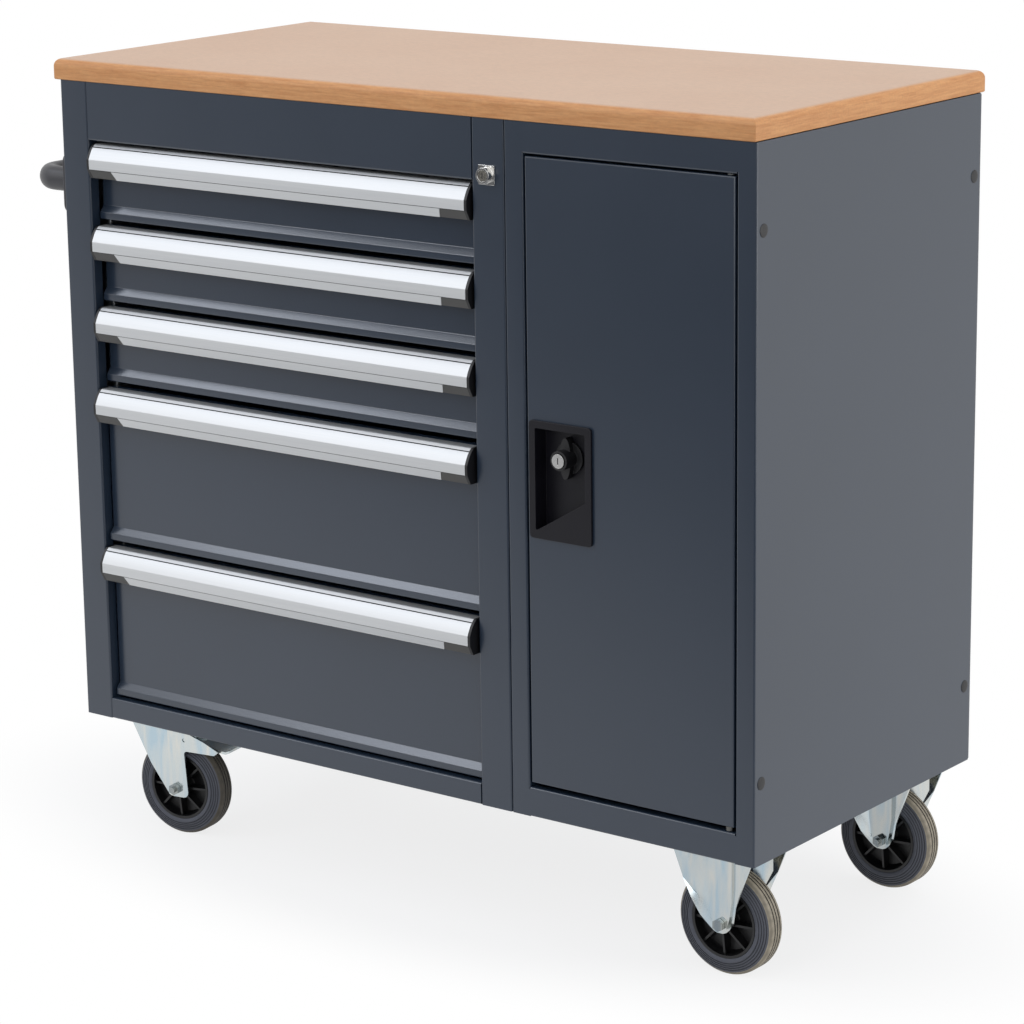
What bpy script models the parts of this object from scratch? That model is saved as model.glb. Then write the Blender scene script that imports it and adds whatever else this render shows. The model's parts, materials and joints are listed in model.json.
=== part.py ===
"""Tool cart: a five-drawer cabinet beside a door cupboard, under one wooden worktop, on four casters.

Places are given in the cabinet's frame, in metres: x from the left side, y from the front face
towards the back, z from the underside of the cabinet. The empty named cart carries that frame so
that the world origin lies on the floor, under the middle of the whole cart.
"""
import math

import bmesh
import bpy
from mathutils import Vector

# Driving dimensions
CABINET_WIDTH = 1.000
CABINET_DEPTH = 0.466
CABINET_HEIGHT = 0.796
DRAWER_SIDE_WIDTH = 0.6695
WORKTOP_THICKNESS = 0.025
WHEEL_RADIUS = 0.0625
CASTER_CLEARANCE = 0.030
HEADER_HEIGHT = 0.070
DRAWER_UNIT_COUNTS = (1, 1, 1, 2, 2)
SHEET = 0.0015
SEAT_GAP = 0.0003
CUT_OVERRUN = 0.004
MERGE_DISTANCE = 0.000001
BEND_SHARE = 1.5

# Openings in the front
LEFT_STILE = 0.0425
LOCK_STILE = 0.0445
DOOR_LATCH_STILE = 0.0256
DOOR_HINGE_STILE = 0.0245
LOWER_RAIL = 0.026
DOOR_RAIL = 0.035

# Overall reach beyond the cabinet, which sets the origin
WORKTOP_LEFT_OVERHANG = 0.0088
WORKTOP_RIGHT_INSET = 0.0010
WORKTOP_FRONT_OVERHANG = 0.0014
WORKTOP_BACK_OVERHANG = 0.0096
PUSH_REACH = 0.070
PLUG_HEAD = 0.0010
TALL_FRONT_SETBACK = 0.0135
HANDLE_REACH = 0.0266

CASTER_HEIGHT = 2 * WHEEL_RADIUS + CASTER_CLEARANCE
CENTRE_X = (CABINET_WIDTH + PLUG_HEAD - PUSH_REACH) / 2
CENTRE_Y = (CABINET_DEPTH + WORKTOP_BACK_OVERHANG + TALL_FRONT_SETBACK - HANDLE_REACH) / 2

for old in list(bpy.data.objects):
    bpy.data.objects.remove(old)

PARTS = bpy.data.collections.new("tool_cart")
CUTTERS = bpy.data.collections.new("tool_cart_cutters")
bpy.context.scene.collection.children.link(PARTS)
bpy.context.scene.collection.children.link(CUTTERS)


def add_empty(name, location, parent=None, turn=0.0):
    """An empty that carries other pieces, turned about the vertical."""
    empty = bpy.data.objects.new(name, None)
    empty.location = location
    empty.rotation_euler = (0.0, 0.0, turn)
    empty.parent = parent
    PARTS.objects.link(empty)
    return empty


def paint(name, colour, roughness, metallic):
    """A Principled material."""
    finish = bpy.data.materials.new(name)
    finish.use_nodes = True
    shader = finish.node_tree.nodes["Principled BSDF"]
    shader.inputs["Base Color"].default_value = (*colour, 1.0)
    shader.inputs["Roughness"].default_value = roughness
    shader.inputs["Metallic"].default_value = metallic
    return finish


CART = add_empty("cart", (-CENTRE_X, -CENTRE_Y, CASTER_HEIGHT))

PANEL_PAINT = paint("anthracite_powder_coat", (0.045, 0.058, 0.072), 0.50, 0.0)
DRAWER_PAINT = paint("anthracite_drawer_coat", (0.040, 0.048, 0.060), 0.50, 0.0)
INSIDE_ZINC = paint("galvanised_sheet", (0.45, 0.46, 0.46), 0.45, 1.0)
BEECH = paint("oiled_beech_board", (0.62, 0.42, 0.26), 0.55, 0.0)
ANODISED = paint("anodised_aluminium", (0.72, 0.74, 0.77), 0.32, 1.0)
BLACK_PLASTIC = paint("black_moulded_plastic", (0.020, 0.020, 0.022), 0.48, 0.0)
CHROME = paint("chromed_brass", (0.78, 0.77, 0.75), 0.18, 1.0)
ZINC = paint("zinc_plated_steel", (0.62, 0.63, 0.62), 0.36, 1.0)
RUBBER = paint("dark_grey_rubber", (0.055, 0.056, 0.064), 0.75, 0.0)


def add_mesh(name, bm, finish, parent=CART, location=(0.0, 0.0, 0.0), rotation=(0.0, 0.0, 0.0)):
    """Turns an edited mesh into an object of the cart."""
    data = bpy.data.meshes.new(name)
    bm.to_mesh(data)
    bm.free()
    data.materials.append(finish)
    piece = bpy.data.objects.new(name, data)
    piece.location = location
    piece.rotation_euler = rotation
    piece.parent = parent
    PARTS.objects.link(piece)
    return piece


def block(low, high):
    """A box between two corners."""
    bm = bmesh.new()
    bmesh.ops.create_cube(bm, size=1.0)
    for vert in bm.verts:
        shares = (vert.co + Vector((1.0, 1.0, 1.0)) / 2)
        vert.co = [low[k] + shares[k] * (high[k] - low[k]) for k in range(3)]
    return bm


def shade_round(piece, sharp_degrees=35.0):
    """Smooth shading on curved faces, with real edges left sharp."""
    piece.data.shade_smooth()
    piece.data.set_sharp_from_angle(angle=math.radians(sharp_degrees))


def as_tool(tool):
    """Moves a shape to the cutters, where it only cuts or adds to another piece."""
    PARTS.objects.unlink(tool)
    CUTTERS.objects.link(tool)
    tool.hide_render = True
    tool.display_type = "WIRE"


def combine(piece, tool, operation):
    """Cuts a shape out of a piece or welds it on."""
    step = piece.modifiers.new(tool.name, "BOOLEAN")
    step.operation = operation
    step.object = tool
    as_tool(tool)


def cut(piece, tool):
    combine(piece, tool, "DIFFERENCE")


def weld(piece, tool):
    combine(piece, tool, "UNION")


def rounded(corners, radii, closed=False, steps=3):
    """Corner points with each corner turned into an arc. A radius of zero leaves it sharp."""
    points = []
    count = len(corners)
    for index, corner in enumerate(corners):
        here = Vector(corner)
        radius = radii[index] if isinstance(radii, (list, tuple)) else radii
        at_end = not closed and index in (0, count - 1)
        if at_end or radius == 0:
            points.append(here)
            continue
        before = (Vector(corners[index - 1]) - here).normalized()
        after = (Vector(corners[(index + 1) % count]) - here).normalized()
        half = before.angle(after) / 2
        reach = radius / math.tan(half)
        centre = here + (before + after).normalized() * radius / math.sin(half)
        start = here + before * reach - centre
        finish = here + after * reach - centre
        sweep = start.angle_signed(finish)
        for step in range(steps + 1):
            turned_by = -sweep * step / steps
            cosine = math.cos(turned_by)
            sine = math.sin(turned_by)
            arm = Vector((start.x * cosine - start.y * sine, start.x * sine + start.y * cosine))
            points.append(centre + arm)
    return points


def spread(axes, first, second, third):
    """A 3D point from its places along three named axes."""
    place = dict(zip(axes, (first, second, third)))
    return (place["x"], place["y"], place["z"])


def folded_sheet(name, corners, axes, low, high, finish, thickness=SHEET, bend=None, **where):
    """A folded sheet. The corners follow its outer face in the plane of the first two axes, with
    the metal to the right of the path, and the fold runs along the third axis from low to high."""
    radius = BEND_SHARE * thickness if bend is None else bend
    bm = bmesh.new()
    rows = []
    for point in rounded(corners, radius):
        rows.append([bm.verts.new(spread(axes, point.x, point.y, end)) for end in (low, high)])
    for here, following in zip(rows, rows[1:]):
        bm.faces.new((here[0], here[1], following[1], following[0]))
    piece = add_mesh(name, bm, finish, **where)
    skin = piece.modifiers.new("sheet_thickness", "SOLIDIFY")
    skin.thickness = thickness
    skin.offset = -1.0
    skin.use_even_offset = True
    return piece


def prism(name, outline, axes, low, high, finish, **where):
    """A solid of one flat outline, between two levels on the third axis."""
    shape = bpy.data.curves.new(name, "CURVE")
    shape.dimensions = "2D"
    shape.fill_mode = "BOTH"
    shape.extrude = (high - low) / 2
    loop = shape.splines.new("POLY")
    loop.use_cyclic_u = True
    loop.points.add(len(outline) - 1)
    for knot, point in zip(loop.points, outline):
        knot.co = (point[0], point[1], 0.0, 1.0)
    flat = bpy.data.objects.new(name + "_outline", shape)
    CUTTERS.objects.link(flat)
    evaluated = flat.evaluated_get(bpy.context.evaluated_depsgraph_get())
    solid = bpy.data.meshes.new_from_object(evaluated)
    bm = bmesh.new()
    bm.from_mesh(solid)
    bpy.data.objects.remove(flat)
    bpy.data.meshes.remove(solid)
    bmesh.ops.remove_doubles(bm, verts=bm.verts, dist=MERGE_DISTANCE)
    middle = (high + low) / 2
    for vert in bm.verts:
        vert.co = spread(axes, vert.co.x, vert.co.y, vert.co.z + middle)
    return add_mesh(name, bm, finish, **where)


def turned(name, profile, steps, finish, closed=False, **where):
    """A turned shape about its own z axis. The profile holds radius and height, top to bottom."""
    bm = bmesh.new()
    ring = [bm.verts.new((radius, 0.0, height)) for radius, height in profile]
    for here, following in zip(ring, ring[1:]):
        bm.edges.new((here, following))
    if closed:
        bm.edges.new((ring[-1], ring[0]))
    piece = add_mesh(name, bm, finish, **where)
    spin = piece.modifiers.new("turning", "SCREW")
    spin.steps = steps
    spin.render_steps = steps
    spin.use_merge_vertices = True
    spin.merge_threshold = MERGE_DISTANCE
    spin.use_smooth_shade = True
    return piece


def rod(name, radius, low, high, axis, centre, finish, steps=24, **where):
    """A plain round rod along one axis, through a centre given on the other two."""
    profile = [(0.0, high), (radius, high), (radius, low), (0.0, low)]
    turns = {"x": (0.0, math.pi / 2, 0.0), "y": (-math.pi / 2, 0.0, 0.0), "z": (0.0, 0.0, 0.0)}
    return turned(name, profile, steps, finish, location=centre, rotation=turns[axis], **where)


# Worktop: one beech-coloured board, rounded along its top edges and corners
WORKTOP_TOP_ROUND = 0.009
WORKTOP_CORNER_ROUND = 0.0015
WORKTOP_BOTTOM_ROUND = 0.0010
WORKTOP_BOTTOM = CABINET_HEIGHT + SEAT_GAP


def make_worktop():
    low = (-WORKTOP_LEFT_OVERHANG, -WORKTOP_FRONT_OVERHANG, WORKTOP_BOTTOM)
    high = (CABINET_WIDTH - WORKTOP_RIGHT_INSET, CABINET_DEPTH + WORKTOP_BACK_OVERHANG,
            WORKTOP_BOTTOM + WORKTOP_THICKNESS)
    bm = block(low, high)
    upright = [edge for edge in bm.edges if edge.verts[0].co.z != edge.verts[1].co.z]
    bmesh.ops.bevel(bm, geom=upright, offset=WORKTOP_CORNER_ROUND, segments=1, affect="EDGES")
    crest = max(vert.co.z for vert in bm.verts)
    upper = [edge for edge in bm.edges if all(vert.co.z == crest for vert in edge.verts)]
    bmesh.ops.bevel(bm, geom=upper, offset=WORKTOP_TOP_ROUND, segments=4, profile=0.5,
                    affect="EDGES")
    level = min(vert.co.z for vert in bm.verts)
    lower = [edge for edge in bm.edges if all(vert.co.z == level for vert in edge.verts)]
    bmesh.ops.bevel(bm, geom=lower, offset=WORKTOP_BOTTOM_ROUND, segments=1, affect="EDGES")
    board = add_mesh("worktop", bm, BEECH)
    shade_round(board)


# Side panels: each is one sheet folded into a side, a front stile and a back flange
CABINET_SEAM = 0.0006
STILE_RETURN = 0.015
BACK_FLANGE = 0.020
PLUG_RADIUS = 0.0075
PLUG_STEM = 0.0050
PLUG_STEM_LENGTH = 0.006
PLUG_CROWN_SHARE = 0.8
PLUG_INSET = 0.0135
PLUG_RISE = 0.094
HOLE_PLAY = 0.0003
LOCK_CENTRE_FROM_OPENING = 0.0215
LOCK_DROP = 0.0625
LOCK_BARREL = 0.0085

DRAWER_OPENING = (LEFT_STILE, DRAWER_SIDE_WIDTH - LOCK_STILE)
DOOR_OPENING = (DRAWER_SIDE_WIDTH + DOOR_LATCH_STILE, CABINET_WIDTH - DOOR_HINGE_STILE)
SEAM_LEFT = DRAWER_SIDE_WIDTH - CABINET_SEAM / 2
SEAM_RIGHT = DRAWER_SIDE_WIDTH + CABINET_SEAM / 2
LOCK_X = DRAWER_OPENING[1] + LOCK_CENTRE_FROM_OPENING
LOCK_Z = CABINET_HEIGHT - LOCK_DROP
PLUG_PLACES = [(y, z) for y in (PLUG_INSET, CABINET_DEPTH - PLUG_INSET)
               for z in (PLUG_RISE, CABINET_HEIGHT - PLUG_RISE)]


def side_panel(name, outer, opening):
    """A side sheet whose outer face is at outer and whose front stile ends at the opening."""
    flange = outer + math.copysign(BACK_FLANGE, opening - outer)
    corners = [(opening, STILE_RETURN), (opening, 0.0), (outer, 0.0), (outer, CABINET_DEPTH),
               (flange, CABINET_DEPTH)]
    if opening < outer:
        corners.reverse()
    return folded_sheet(name, corners, "xyz", 0.0, CABINET_HEIGHT, PANEL_PAINT)


def make_side_panels():
    side_panel("drawer_cabinet_left_side", 0.0, DRAWER_OPENING[0])
    lock_side = side_panel("drawer_cabinet_right_side", SEAM_LEFT, DRAWER_OPENING[1])
    side_panel("door_cabinet_left_side", SEAM_RIGHT, DOOR_OPENING[0])
    right = side_panel("door_cabinet_right_side", CABINET_WIDTH, DOOR_OPENING[1])
    cut(lock_side, rod("lock_hole", LOCK_BARREL + HOLE_PLAY, -CUT_OVERRUN, SHEET + CUT_OVERRUN,
                       "y", (LOCK_X, 0.0, LOCK_Z), PANEL_PAINT))
    for index, (y, z) in enumerate(PLUG_PLACES):
        cut(right, rod("plug_hole_%d" % (index + 1), PLUG_STEM + HOLE_PLAY,
                       -SHEET - CUT_OVERRUN, CUT_OVERRUN, "x", (CABINET_WIDTH, y, z),
                       PANEL_PAINT, steps=16))


def make_plugs():
    """Round plastic plugs that close the fixing holes of the right side."""
    for index, (y, z) in enumerate(PLUG_PLACES):
        crown = PLUG_HEAD
        profile = [(0.0, crown), (PLUG_RADIUS * PLUG_CROWN_SHARE, crown), (PLUG_RADIUS, SEAT_GAP * 2),
                   (PLUG_RADIUS, SEAT_GAP), (PLUG_STEM, SEAT_GAP), (PLUG_STEM, -PLUG_STEM_LENGTH),
                   (0.0, -PLUG_STEM_LENGTH)]
        turned("side_plug_%d" % (index + 1), profile, 16, BLACK_PLASTIC,
               location=(CABINET_WIDTH, y, z), rotation=(0.0, math.pi / 2, 0.0))


# Headers, floors and back: folded sheets between the side panels
SEAM = 0.0005
HEADER_RETURN = 0.014
HEADER_FLANGE = 0.030
TRAY_RISE = 0.022
RAIL_RETURN = 0.012
BACK_THICKNESS = 0.0010
BACK_MARGIN = 0.0010
SHELF_SETBACK = 0.064
SHELF_HEIGHT_SHARE = 0.48
SHELF_EDGE = 0.025

DRAWER_OPENING_TOP = CABINET_HEIGHT - HEADER_HEIGHT
DRAWER_PITCH = (DRAWER_OPENING_TOP - LOWER_RAIL) / sum(DRAWER_UNIT_COUNTS)
DOOR_OPENING_TOP = CABINET_HEIGHT - DOOR_RAIL


def header(name, opening, bottom):
    """The strip above an opening, with a return under it and a flange that carries the worktop."""
    corners = [(HEADER_RETURN, bottom), (0.0, bottom), (0.0, CABINET_HEIGHT),
               (HEADER_FLANGE, CABINET_HEIGHT)]
    folded_sheet(name, corners, "yzx", opening[0] + SEAM, opening[1] - SEAM, PANEL_PAINT)


def floor(name, sides, opening, rail_height):
    """A floor tray with turned-up sides, and a front rail folded up between the stiles."""
    left = sides[0] + SHEET + SEAT_GAP
    right = sides[1] - SHEET - SEAT_GAP
    front = STILE_RETURN + SEAT_GAP
    back = CABINET_DEPTH - SHEET - SEAT_GAP
    tray_corners = [(TRAY_RISE, left), (0.0, left), (0.0, right), (TRAY_RISE, right)]
    tray = folded_sheet(name, tray_corners, "zxy", front, back, PANEL_PAINT)
    rail_corners = [(front + TRAY_RISE, 0.0), (0.0, 0.0), (0.0, rail_height),
                    (RAIL_RETURN, rail_height)]
    rail = folded_sheet(name + "_rail", rail_corners, "yzx", opening[0] + SEAM, opening[1] - SEAM,
                        PANEL_PAINT)
    weld(tray, rail)


def make_headers_and_floors():
    header("drawer_cabinet_header", DRAWER_OPENING, DRAWER_OPENING_TOP)
    header("door_cabinet_header", DOOR_OPENING, DOOR_OPENING_TOP)
    floor("drawer_cabinet_floor", (0.0, SEAM_LEFT), DRAWER_OPENING, LOWER_RAIL)
    floor("door_cabinet_floor", (SEAM_RIGHT, CABINET_WIDTH), DOOR_OPENING, DOOR_RAIL)
    back = CABINET_DEPTH + SEAT_GAP
    add_mesh("back_panel", block((BACK_MARGIN, back, BACK_MARGIN),
                                 (CABINET_WIDTH - BACK_MARGIN, back + BACK_THICKNESS,
                                  CABINET_HEIGHT - BACK_MARGIN)), PANEL_PAINT)


def make_shelf():
    """The cupboard's shelf: a tray with its edges folded down, hung tight between the sides."""
    left = SEAM_RIGHT + SHEET + SEAT_GAP
    right = CABINET_WIDTH - SHEET - SEAT_GAP
    back = CABINET_DEPTH - SHEET - SEAT_GAP
    level = CABINET_HEIGHT * SHELF_HEIGHT_SHARE
    corners = [(level - SHELF_EDGE, right), (level, right), (level, left),
               (level - SHELF_EDGE, left)]
    folded_sheet("cupboard_shelf", corners, "zxy", SHELF_SETBACK, back, PANEL_PAINT)


# Runners: a folded wall on each side of the drawers, with one channel for each drawer
RUNNER_FRONT = 0.034
RUNNER_BACK_CLEARANCE = 0.016
RUNNER_END_MARGIN = 0.006
CHANNEL_DEPTH = 0.010
CHANNEL_HEIGHT = 0.024
CHANNEL_SHEET = 0.0015
RUNNER_RISE = 0.030
RUNNER_SIDE_GAP = 0.0037

RUNNER_BACK = CABINET_DEPTH - RUNNER_BACK_CLEARANCE


def drawer_zones():
    """Name, bottom, top and front setback of each drawer, from the top one down."""
    zones = []
    top = DRAWER_OPENING_TOP
    for index, units in enumerate(DRAWER_UNIT_COUNTS):
        setback = SMALL_FRONT_SETBACK if units == 1 else TALL_FRONT_SETBACK
        zones.append(("drawer_%d" % (index + 1), top - units * DRAWER_PITCH, top, setback))
        top -= units * DRAWER_PITCH
    return zones


def runner_wall(name, side, opening, inward):
    """A wall with folded ends against the side panel, and the drawers' channels welded on.
    inward is 1 on the left, where the drawers lie towards +x, and -1 on the right."""
    base = side + inward * (SHEET + SEAT_GAP)
    face = opening - inward * SEAT_GAP
    corners = [(base, RUNNER_FRONT), (face, RUNNER_FRONT), (face, RUNNER_BACK), (base, RUNNER_BACK)]
    if inward > 0:
        corners.reverse()
    wall = folded_sheet(name, corners, "xyz", LOWER_RAIL + RUNNER_END_MARGIN,
                        DRAWER_OPENING_TOP - RUNNER_END_MARGIN, INSIDE_ZINC)
    for drawer, bottom, _, _ in drawer_zones():
        centre = bottom + RUNNER_RISE
        web = face - inward * CHANNEL_SHEET / 2
        tip = face + inward * CHANNEL_DEPTH
        lips = [(centre - CHANNEL_HEIGHT / 2, tip), (centre - CHANNEL_HEIGHT / 2, web),
                (centre + CHANNEL_HEIGHT / 2, web), (centre + CHANNEL_HEIGHT / 2, tip)]
        if inward > 0:
            lips.reverse()
        channel = folded_sheet("%s_channel_%s" % (name, drawer), lips, "zxy",
                               RUNNER_FRONT + CHANNEL_SHEET, RUNNER_BACK - CHANNEL_SHEET,
                               INSIDE_ZINC, thickness=CHANNEL_SHEET, bend=0.0)
        weld(wall, channel)


def make_runner_walls():
    runner_wall("runner_wall_left", 0.0, DRAWER_OPENING[0], 1)
    runner_wall("runner_wall_right", SEAM_LEFT, DRAWER_OPENING[1], -1)


# Drawers: a welded steel tray with its front sheet and slide rails, and an aluminium grip strip
SMALL_FRONT_SETBACK = 0.0195
DRAWER_SHEET = 0.0012
FRONT_SIDE_GAP = 0.0029
FRONT_TOP_GAP = 0.0042
FRONT_BOTTOM_GAP = 0.003
FRONT_RETURN = 0.010
BAND_HEIGHT = 0.0085
BEVEL_HEIGHT = 0.008
BEVEL_DEPTH = 0.0065
TRAY_LIFT = 0.008
TRAY_TOP_DROP = 0.022
RAIL_REACH = 0.0087
RAIL_FRONT = 0.050
RAIL_PLAY = 0.0003
CAP_THICKNESS = 0.0035
GRIP_WALL = 0.0020
GRIP_TOP_DEPTH = 0.0140
GRIP_SHOULDER_DEPTH = 0.0175
GRIP_SHOULDER_DROP = 0.0030
GRIP_CURVE_DEPTH = 0.0225
GRIP_CURVE_DROP = 0.0105
GRIP_NOSE_DEPTH = 0.0262
GRIP_NOSE_DROP = 0.0177
GRIP_CHIN_DROP = 0.0305
GRIP_LIP_DROP = 0.0410
GRIP_LIP_DEPTH = 0.0205
GRIP_LIP_CUT = 0.035
GRIP_LIP_SLANT = 0.004

FRONT_LEFT = DRAWER_OPENING[0] + FRONT_SIDE_GAP
FRONT_RIGHT = DRAWER_OPENING[1] - FRONT_SIDE_GAP
TRAY_LEFT = DRAWER_OPENING[0] + CHANNEL_DEPTH + RUNNER_SIDE_GAP
TRAY_RIGHT = DRAWER_OPENING[1] - CHANNEL_DEPTH - RUNNER_SIDE_GAP


def drawer_tray(name, slide, bottom, top, start):
    """The drawer's open tray, whose front wall begins at start."""
    low = (TRAY_LEFT, start, bottom + TRAY_LIFT)
    high = (TRAY_RIGHT, RUNNER_BACK, top - TRAY_TOP_DROP)
    bm = block(low, high)
    level = max(vert.co.z for vert in bm.verts)
    lid = [side for side in bm.faces if all(vert.co.z == level for vert in side.verts)]
    bmesh.ops.delete(bm, geom=lid, context="FACES")
    tray = add_mesh(name, bm, DRAWER_PAINT, parent=slide)
    skin = tray.modifiers.new("sheet_thickness", "SOLIDIFY")
    skin.thickness = DRAWER_SHEET
    skin.offset = -1.0
    skin.use_even_offset = True
    return tray


def drawer_front(name, slide, bottom, top, face):
    """The front sheet: flat face, bevel and band below, and returns at its top and bottom."""
    low = bottom + FRONT_BOTTOM_GAP
    high = top - FRONT_TOP_GAP
    band = face - BEVEL_DEPTH
    corners = [(band + FRONT_RETURN, low), (band, low), (band, low + BAND_HEIGHT),
               (face, low + BAND_HEIGHT + BEVEL_HEIGHT), (face, high), (face + FRONT_RETURN, high)]
    return folded_sheet(name + "_front", corners, "yzx", FRONT_LEFT, FRONT_RIGHT, DRAWER_PAINT,
                        thickness=DRAWER_SHEET, parent=slide)


def drawer_rail(name, slide, bottom, face, inward):
    """A slide rail: a channel on the tray's side that runs inside the runner's channel."""
    centre = bottom + RUNNER_RISE
    half = CHANNEL_HEIGHT / 2 - CHANNEL_SHEET - RAIL_PLAY
    side = TRAY_LEFT if inward > 0 else TRAY_RIGHT
    root = side + inward * DRAWER_SHEET / 2
    tip = side - inward * (RUNNER_SIDE_GAP + RAIL_REACH)
    corners = [(centre - half, root), (centre - half, tip), (centre + half, tip),
               (centre + half, root)]
    if inward > 0:
        corners.reverse()
    return folded_sheet("%s_rail_%s" % (name, "left" if inward > 0 else "right"), corners, "zxy",
                        RAIL_FRONT, RUNNER_BACK, DRAWER_PAINT,
                        thickness=DRAWER_SHEET, bend=0.0, parent=slide)


def grip_strip(name, slide, top, face):
    """The aluminium grip: a hooked extrusion, its lip cut short at both ends for the end caps."""
    high = top - FRONT_TOP_GAP
    back = face - SEAT_GAP
    corners = [(back, high - GRIP_LIP_DROP), (back, high), (face - GRIP_TOP_DEPTH, high),
               (face - GRIP_SHOULDER_DEPTH, high - GRIP_SHOULDER_DROP),
               (face - GRIP_CURVE_DEPTH, high - GRIP_CURVE_DROP),
               (face - GRIP_NOSE_DEPTH, high - GRIP_NOSE_DROP),
               (face - HANDLE_REACH, high - GRIP_CHIN_DROP),
               (face - GRIP_LIP_DEPTH, high - GRIP_LIP_DROP)]
    corners.reverse()
    left = FRONT_LEFT + CAP_THICKNESS
    right = FRONT_RIGHT - CAP_THICKNESS
    strip = folded_sheet(name + "_grip", corners, "yzx", left, right, ANODISED,
                         thickness=GRIP_WALL, bend=0.0, parent=slide)
    chin = high - GRIP_CHIN_DROP
    below = high - GRIP_LIP_DROP - CUT_OVERRUN
    for end, inward in ((left, 1), (right, -1)):
        outline = [(chin, end - inward * CUT_OVERRUN), (chin, end + inward * GRIP_LIP_CUT),
                   (below, end + inward * (GRIP_LIP_CUT + GRIP_LIP_SLANT)),
                   (below, end - inward * CUT_OVERRUN)]
        notch = prism("%s_lip_notch_%d" % (name, inward + 2), outline, "zxy",
                      face - HANDLE_REACH - CUT_OVERRUN, face - GRIP_TOP_DEPTH, ANODISED,
                      parent=slide)
        cut(strip, notch)


def make_drawers():
    """A low drawer's front is welded to its tray. A tall drawer's front is hung on it."""
    for name, bottom, top, setback in drawer_zones():
        slide = add_empty(name + "_slide", (0.0, 0.0, 0.0), CART)
        front = drawer_front(name, slide, bottom, top, setback)
        if setback == TALL_FRONT_SETBACK:
            start = setback + DRAWER_SHEET + SEAT_GAP
            tray = drawer_tray(name + "_tray", slide, bottom, top, start)
        else:
            start = setback + DRAWER_SHEET / 2
            tray = drawer_tray(name + "_tray", slide, bottom, top, start)
            weld(tray, front)
        for inward in (1, -1):
            weld(tray, drawer_rail(name, slide, bottom, setback, inward))
        grip_strip(name, slide, top, setback)


# Drawer lock: a chromed housing in the stile, with a key plug and cam that turn in it
LOCK_PLATE = 0.022
LOCK_PLATE_THICKNESS = 0.0015
LOCK_COLLAR = 0.0090
LOCK_COLLAR_HEIGHT = 0.0090
LOCK_PLUG = 0.0062
LOCK_PLAY = 0.0003
LOCK_DEPTH = 0.016
LOCK_CAM_LENGTH = 0.026
LOCK_CAM_WIDTH = 0.012
CAM_THICKNESS = 0.002
KEYWAY_WIDTH = 0.0012
KEYWAY_HEIGHT = 0.0075
KEYWAY_DEPTH = 0.006


def make_drawer_lock():
    centre = (LOCK_X, 0.0, LOCK_Z)
    half = LOCK_PLATE / 2
    front = -SEAT_GAP - LOCK_PLATE_THICKNESS
    housing = add_mesh("drawer_lock_housing", block((LOCK_X - half, front, LOCK_Z - half),
                                                    (LOCK_X + half, -SEAT_GAP, LOCK_Z + half)),
                       CHROME)
    weld(housing, rod("lock_collar", LOCK_COLLAR, -SEAT_GAP - LOCK_COLLAR_HEIGHT,
                      -SEAT_GAP - LOCK_PLATE_THICKNESS / 2, "y", centre, CHROME))
    weld(housing, rod("lock_barrel", LOCK_BARREL, -SEAT_GAP - LOCK_PLATE_THICKNESS / 2,
                      LOCK_DEPTH, "y", centre, CHROME))
    cut(housing, rod("lock_bore", LOCK_PLUG + LOCK_PLAY, -LOCK_COLLAR_HEIGHT - CUT_OVERRUN,
                     LOCK_DEPTH + CUT_OVERRUN, "y", centre, CHROME))
    face = -SEAT_GAP - LOCK_COLLAR_HEIGHT
    pivot = add_empty("drawer_lock_pivot", centre, CART)
    plug = rod("drawer_lock_plug", LOCK_PLUG, face, LOCK_DEPTH, "y", (0.0, 0.0, 0.0), CHROME,
               parent=pivot)
    cut(plug, add_mesh("lock_keyway", block(
        (-KEYWAY_WIDTH / 2, face - CUT_OVERRUN, -KEYWAY_HEIGHT / 2),
        (KEYWAY_WIDTH / 2, face + KEYWAY_DEPTH, KEYWAY_HEIGHT / 2)), CHROME, parent=pivot))
    cam = [(-LOCK_CAM_WIDTH / 2, LOCK_CAM_WIDTH / 2), (LOCK_CAM_WIDTH / 2, LOCK_CAM_WIDTH / 2),
           (LOCK_CAM_WIDTH / 2, -LOCK_CAM_LENGTH), (-LOCK_CAM_WIDTH / 2, -LOCK_CAM_LENGTH)]
    shape = [(point.y, point.x) for point in rounded(cam, LOCK_CAM_WIDTH / 3, closed=True)]
    prism("drawer_lock_cam", shape, "zxy", LOCK_DEPTH + SEAT_GAP,
          LOCK_DEPTH + SEAT_GAP + CAM_THICKNESS, ZINC, parent=pivot)


# Door: a pan-shaped leaf on two pivot pins, with a moulded pocket, a wing knob and its latch cam
DOOR_SIDE_GAP = 0.0026
DOOR_TOP_GAP = 0.0025
DOOR_BOTTOM_GAP = 0.006
DOOR_DEPTH = 0.020
DOOR_SHEET = 0.0012
HINGE_INSET = 0.0085
HINGE_DEPTH = 0.0065
PIN_RADIUS = 0.003
PIN_COLLAR = 0.0045
PIN_REACH = 0.010
POCKET_CENTRE_FROM_EDGE = 0.0465
POCKET_BOTTOM = 0.331
POCKET_WIDTH = 0.085
POCKET_HEIGHT = 0.1345
POCKET_FLANGE_THICKNESS = 0.0030
POCKET_CORNER = 0.0045
POCKET_WELL_CORNER = 0.0015
POCKET_RIM = 0.0085
POCKET_BODY_INSET = 0.005
POCKET_DEPTH = 0.0175
POCKET_WALL = 0.0018
POCKET_RAMP_RISE = 0.040
KNOB_RISE = 0.093
KNOB_BASE = 0.0185
KNOB_BASE_THICKNESS = 0.0030
WING_HEIGHT = 0.048
WING_WIDTH = 0.015
WING_DEPTH = 0.0075
WING_STEPS = 24
KNOB_BOSS = 0.0112
KNOB_PROUD = 0.0055
KEY_PLUG = 0.0082
KEY_PLUG_LENGTH = 0.010
SPINDLE = 0.005
LATCH_LENGTH = 0.060
LATCH_WIDTH = 0.016

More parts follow.
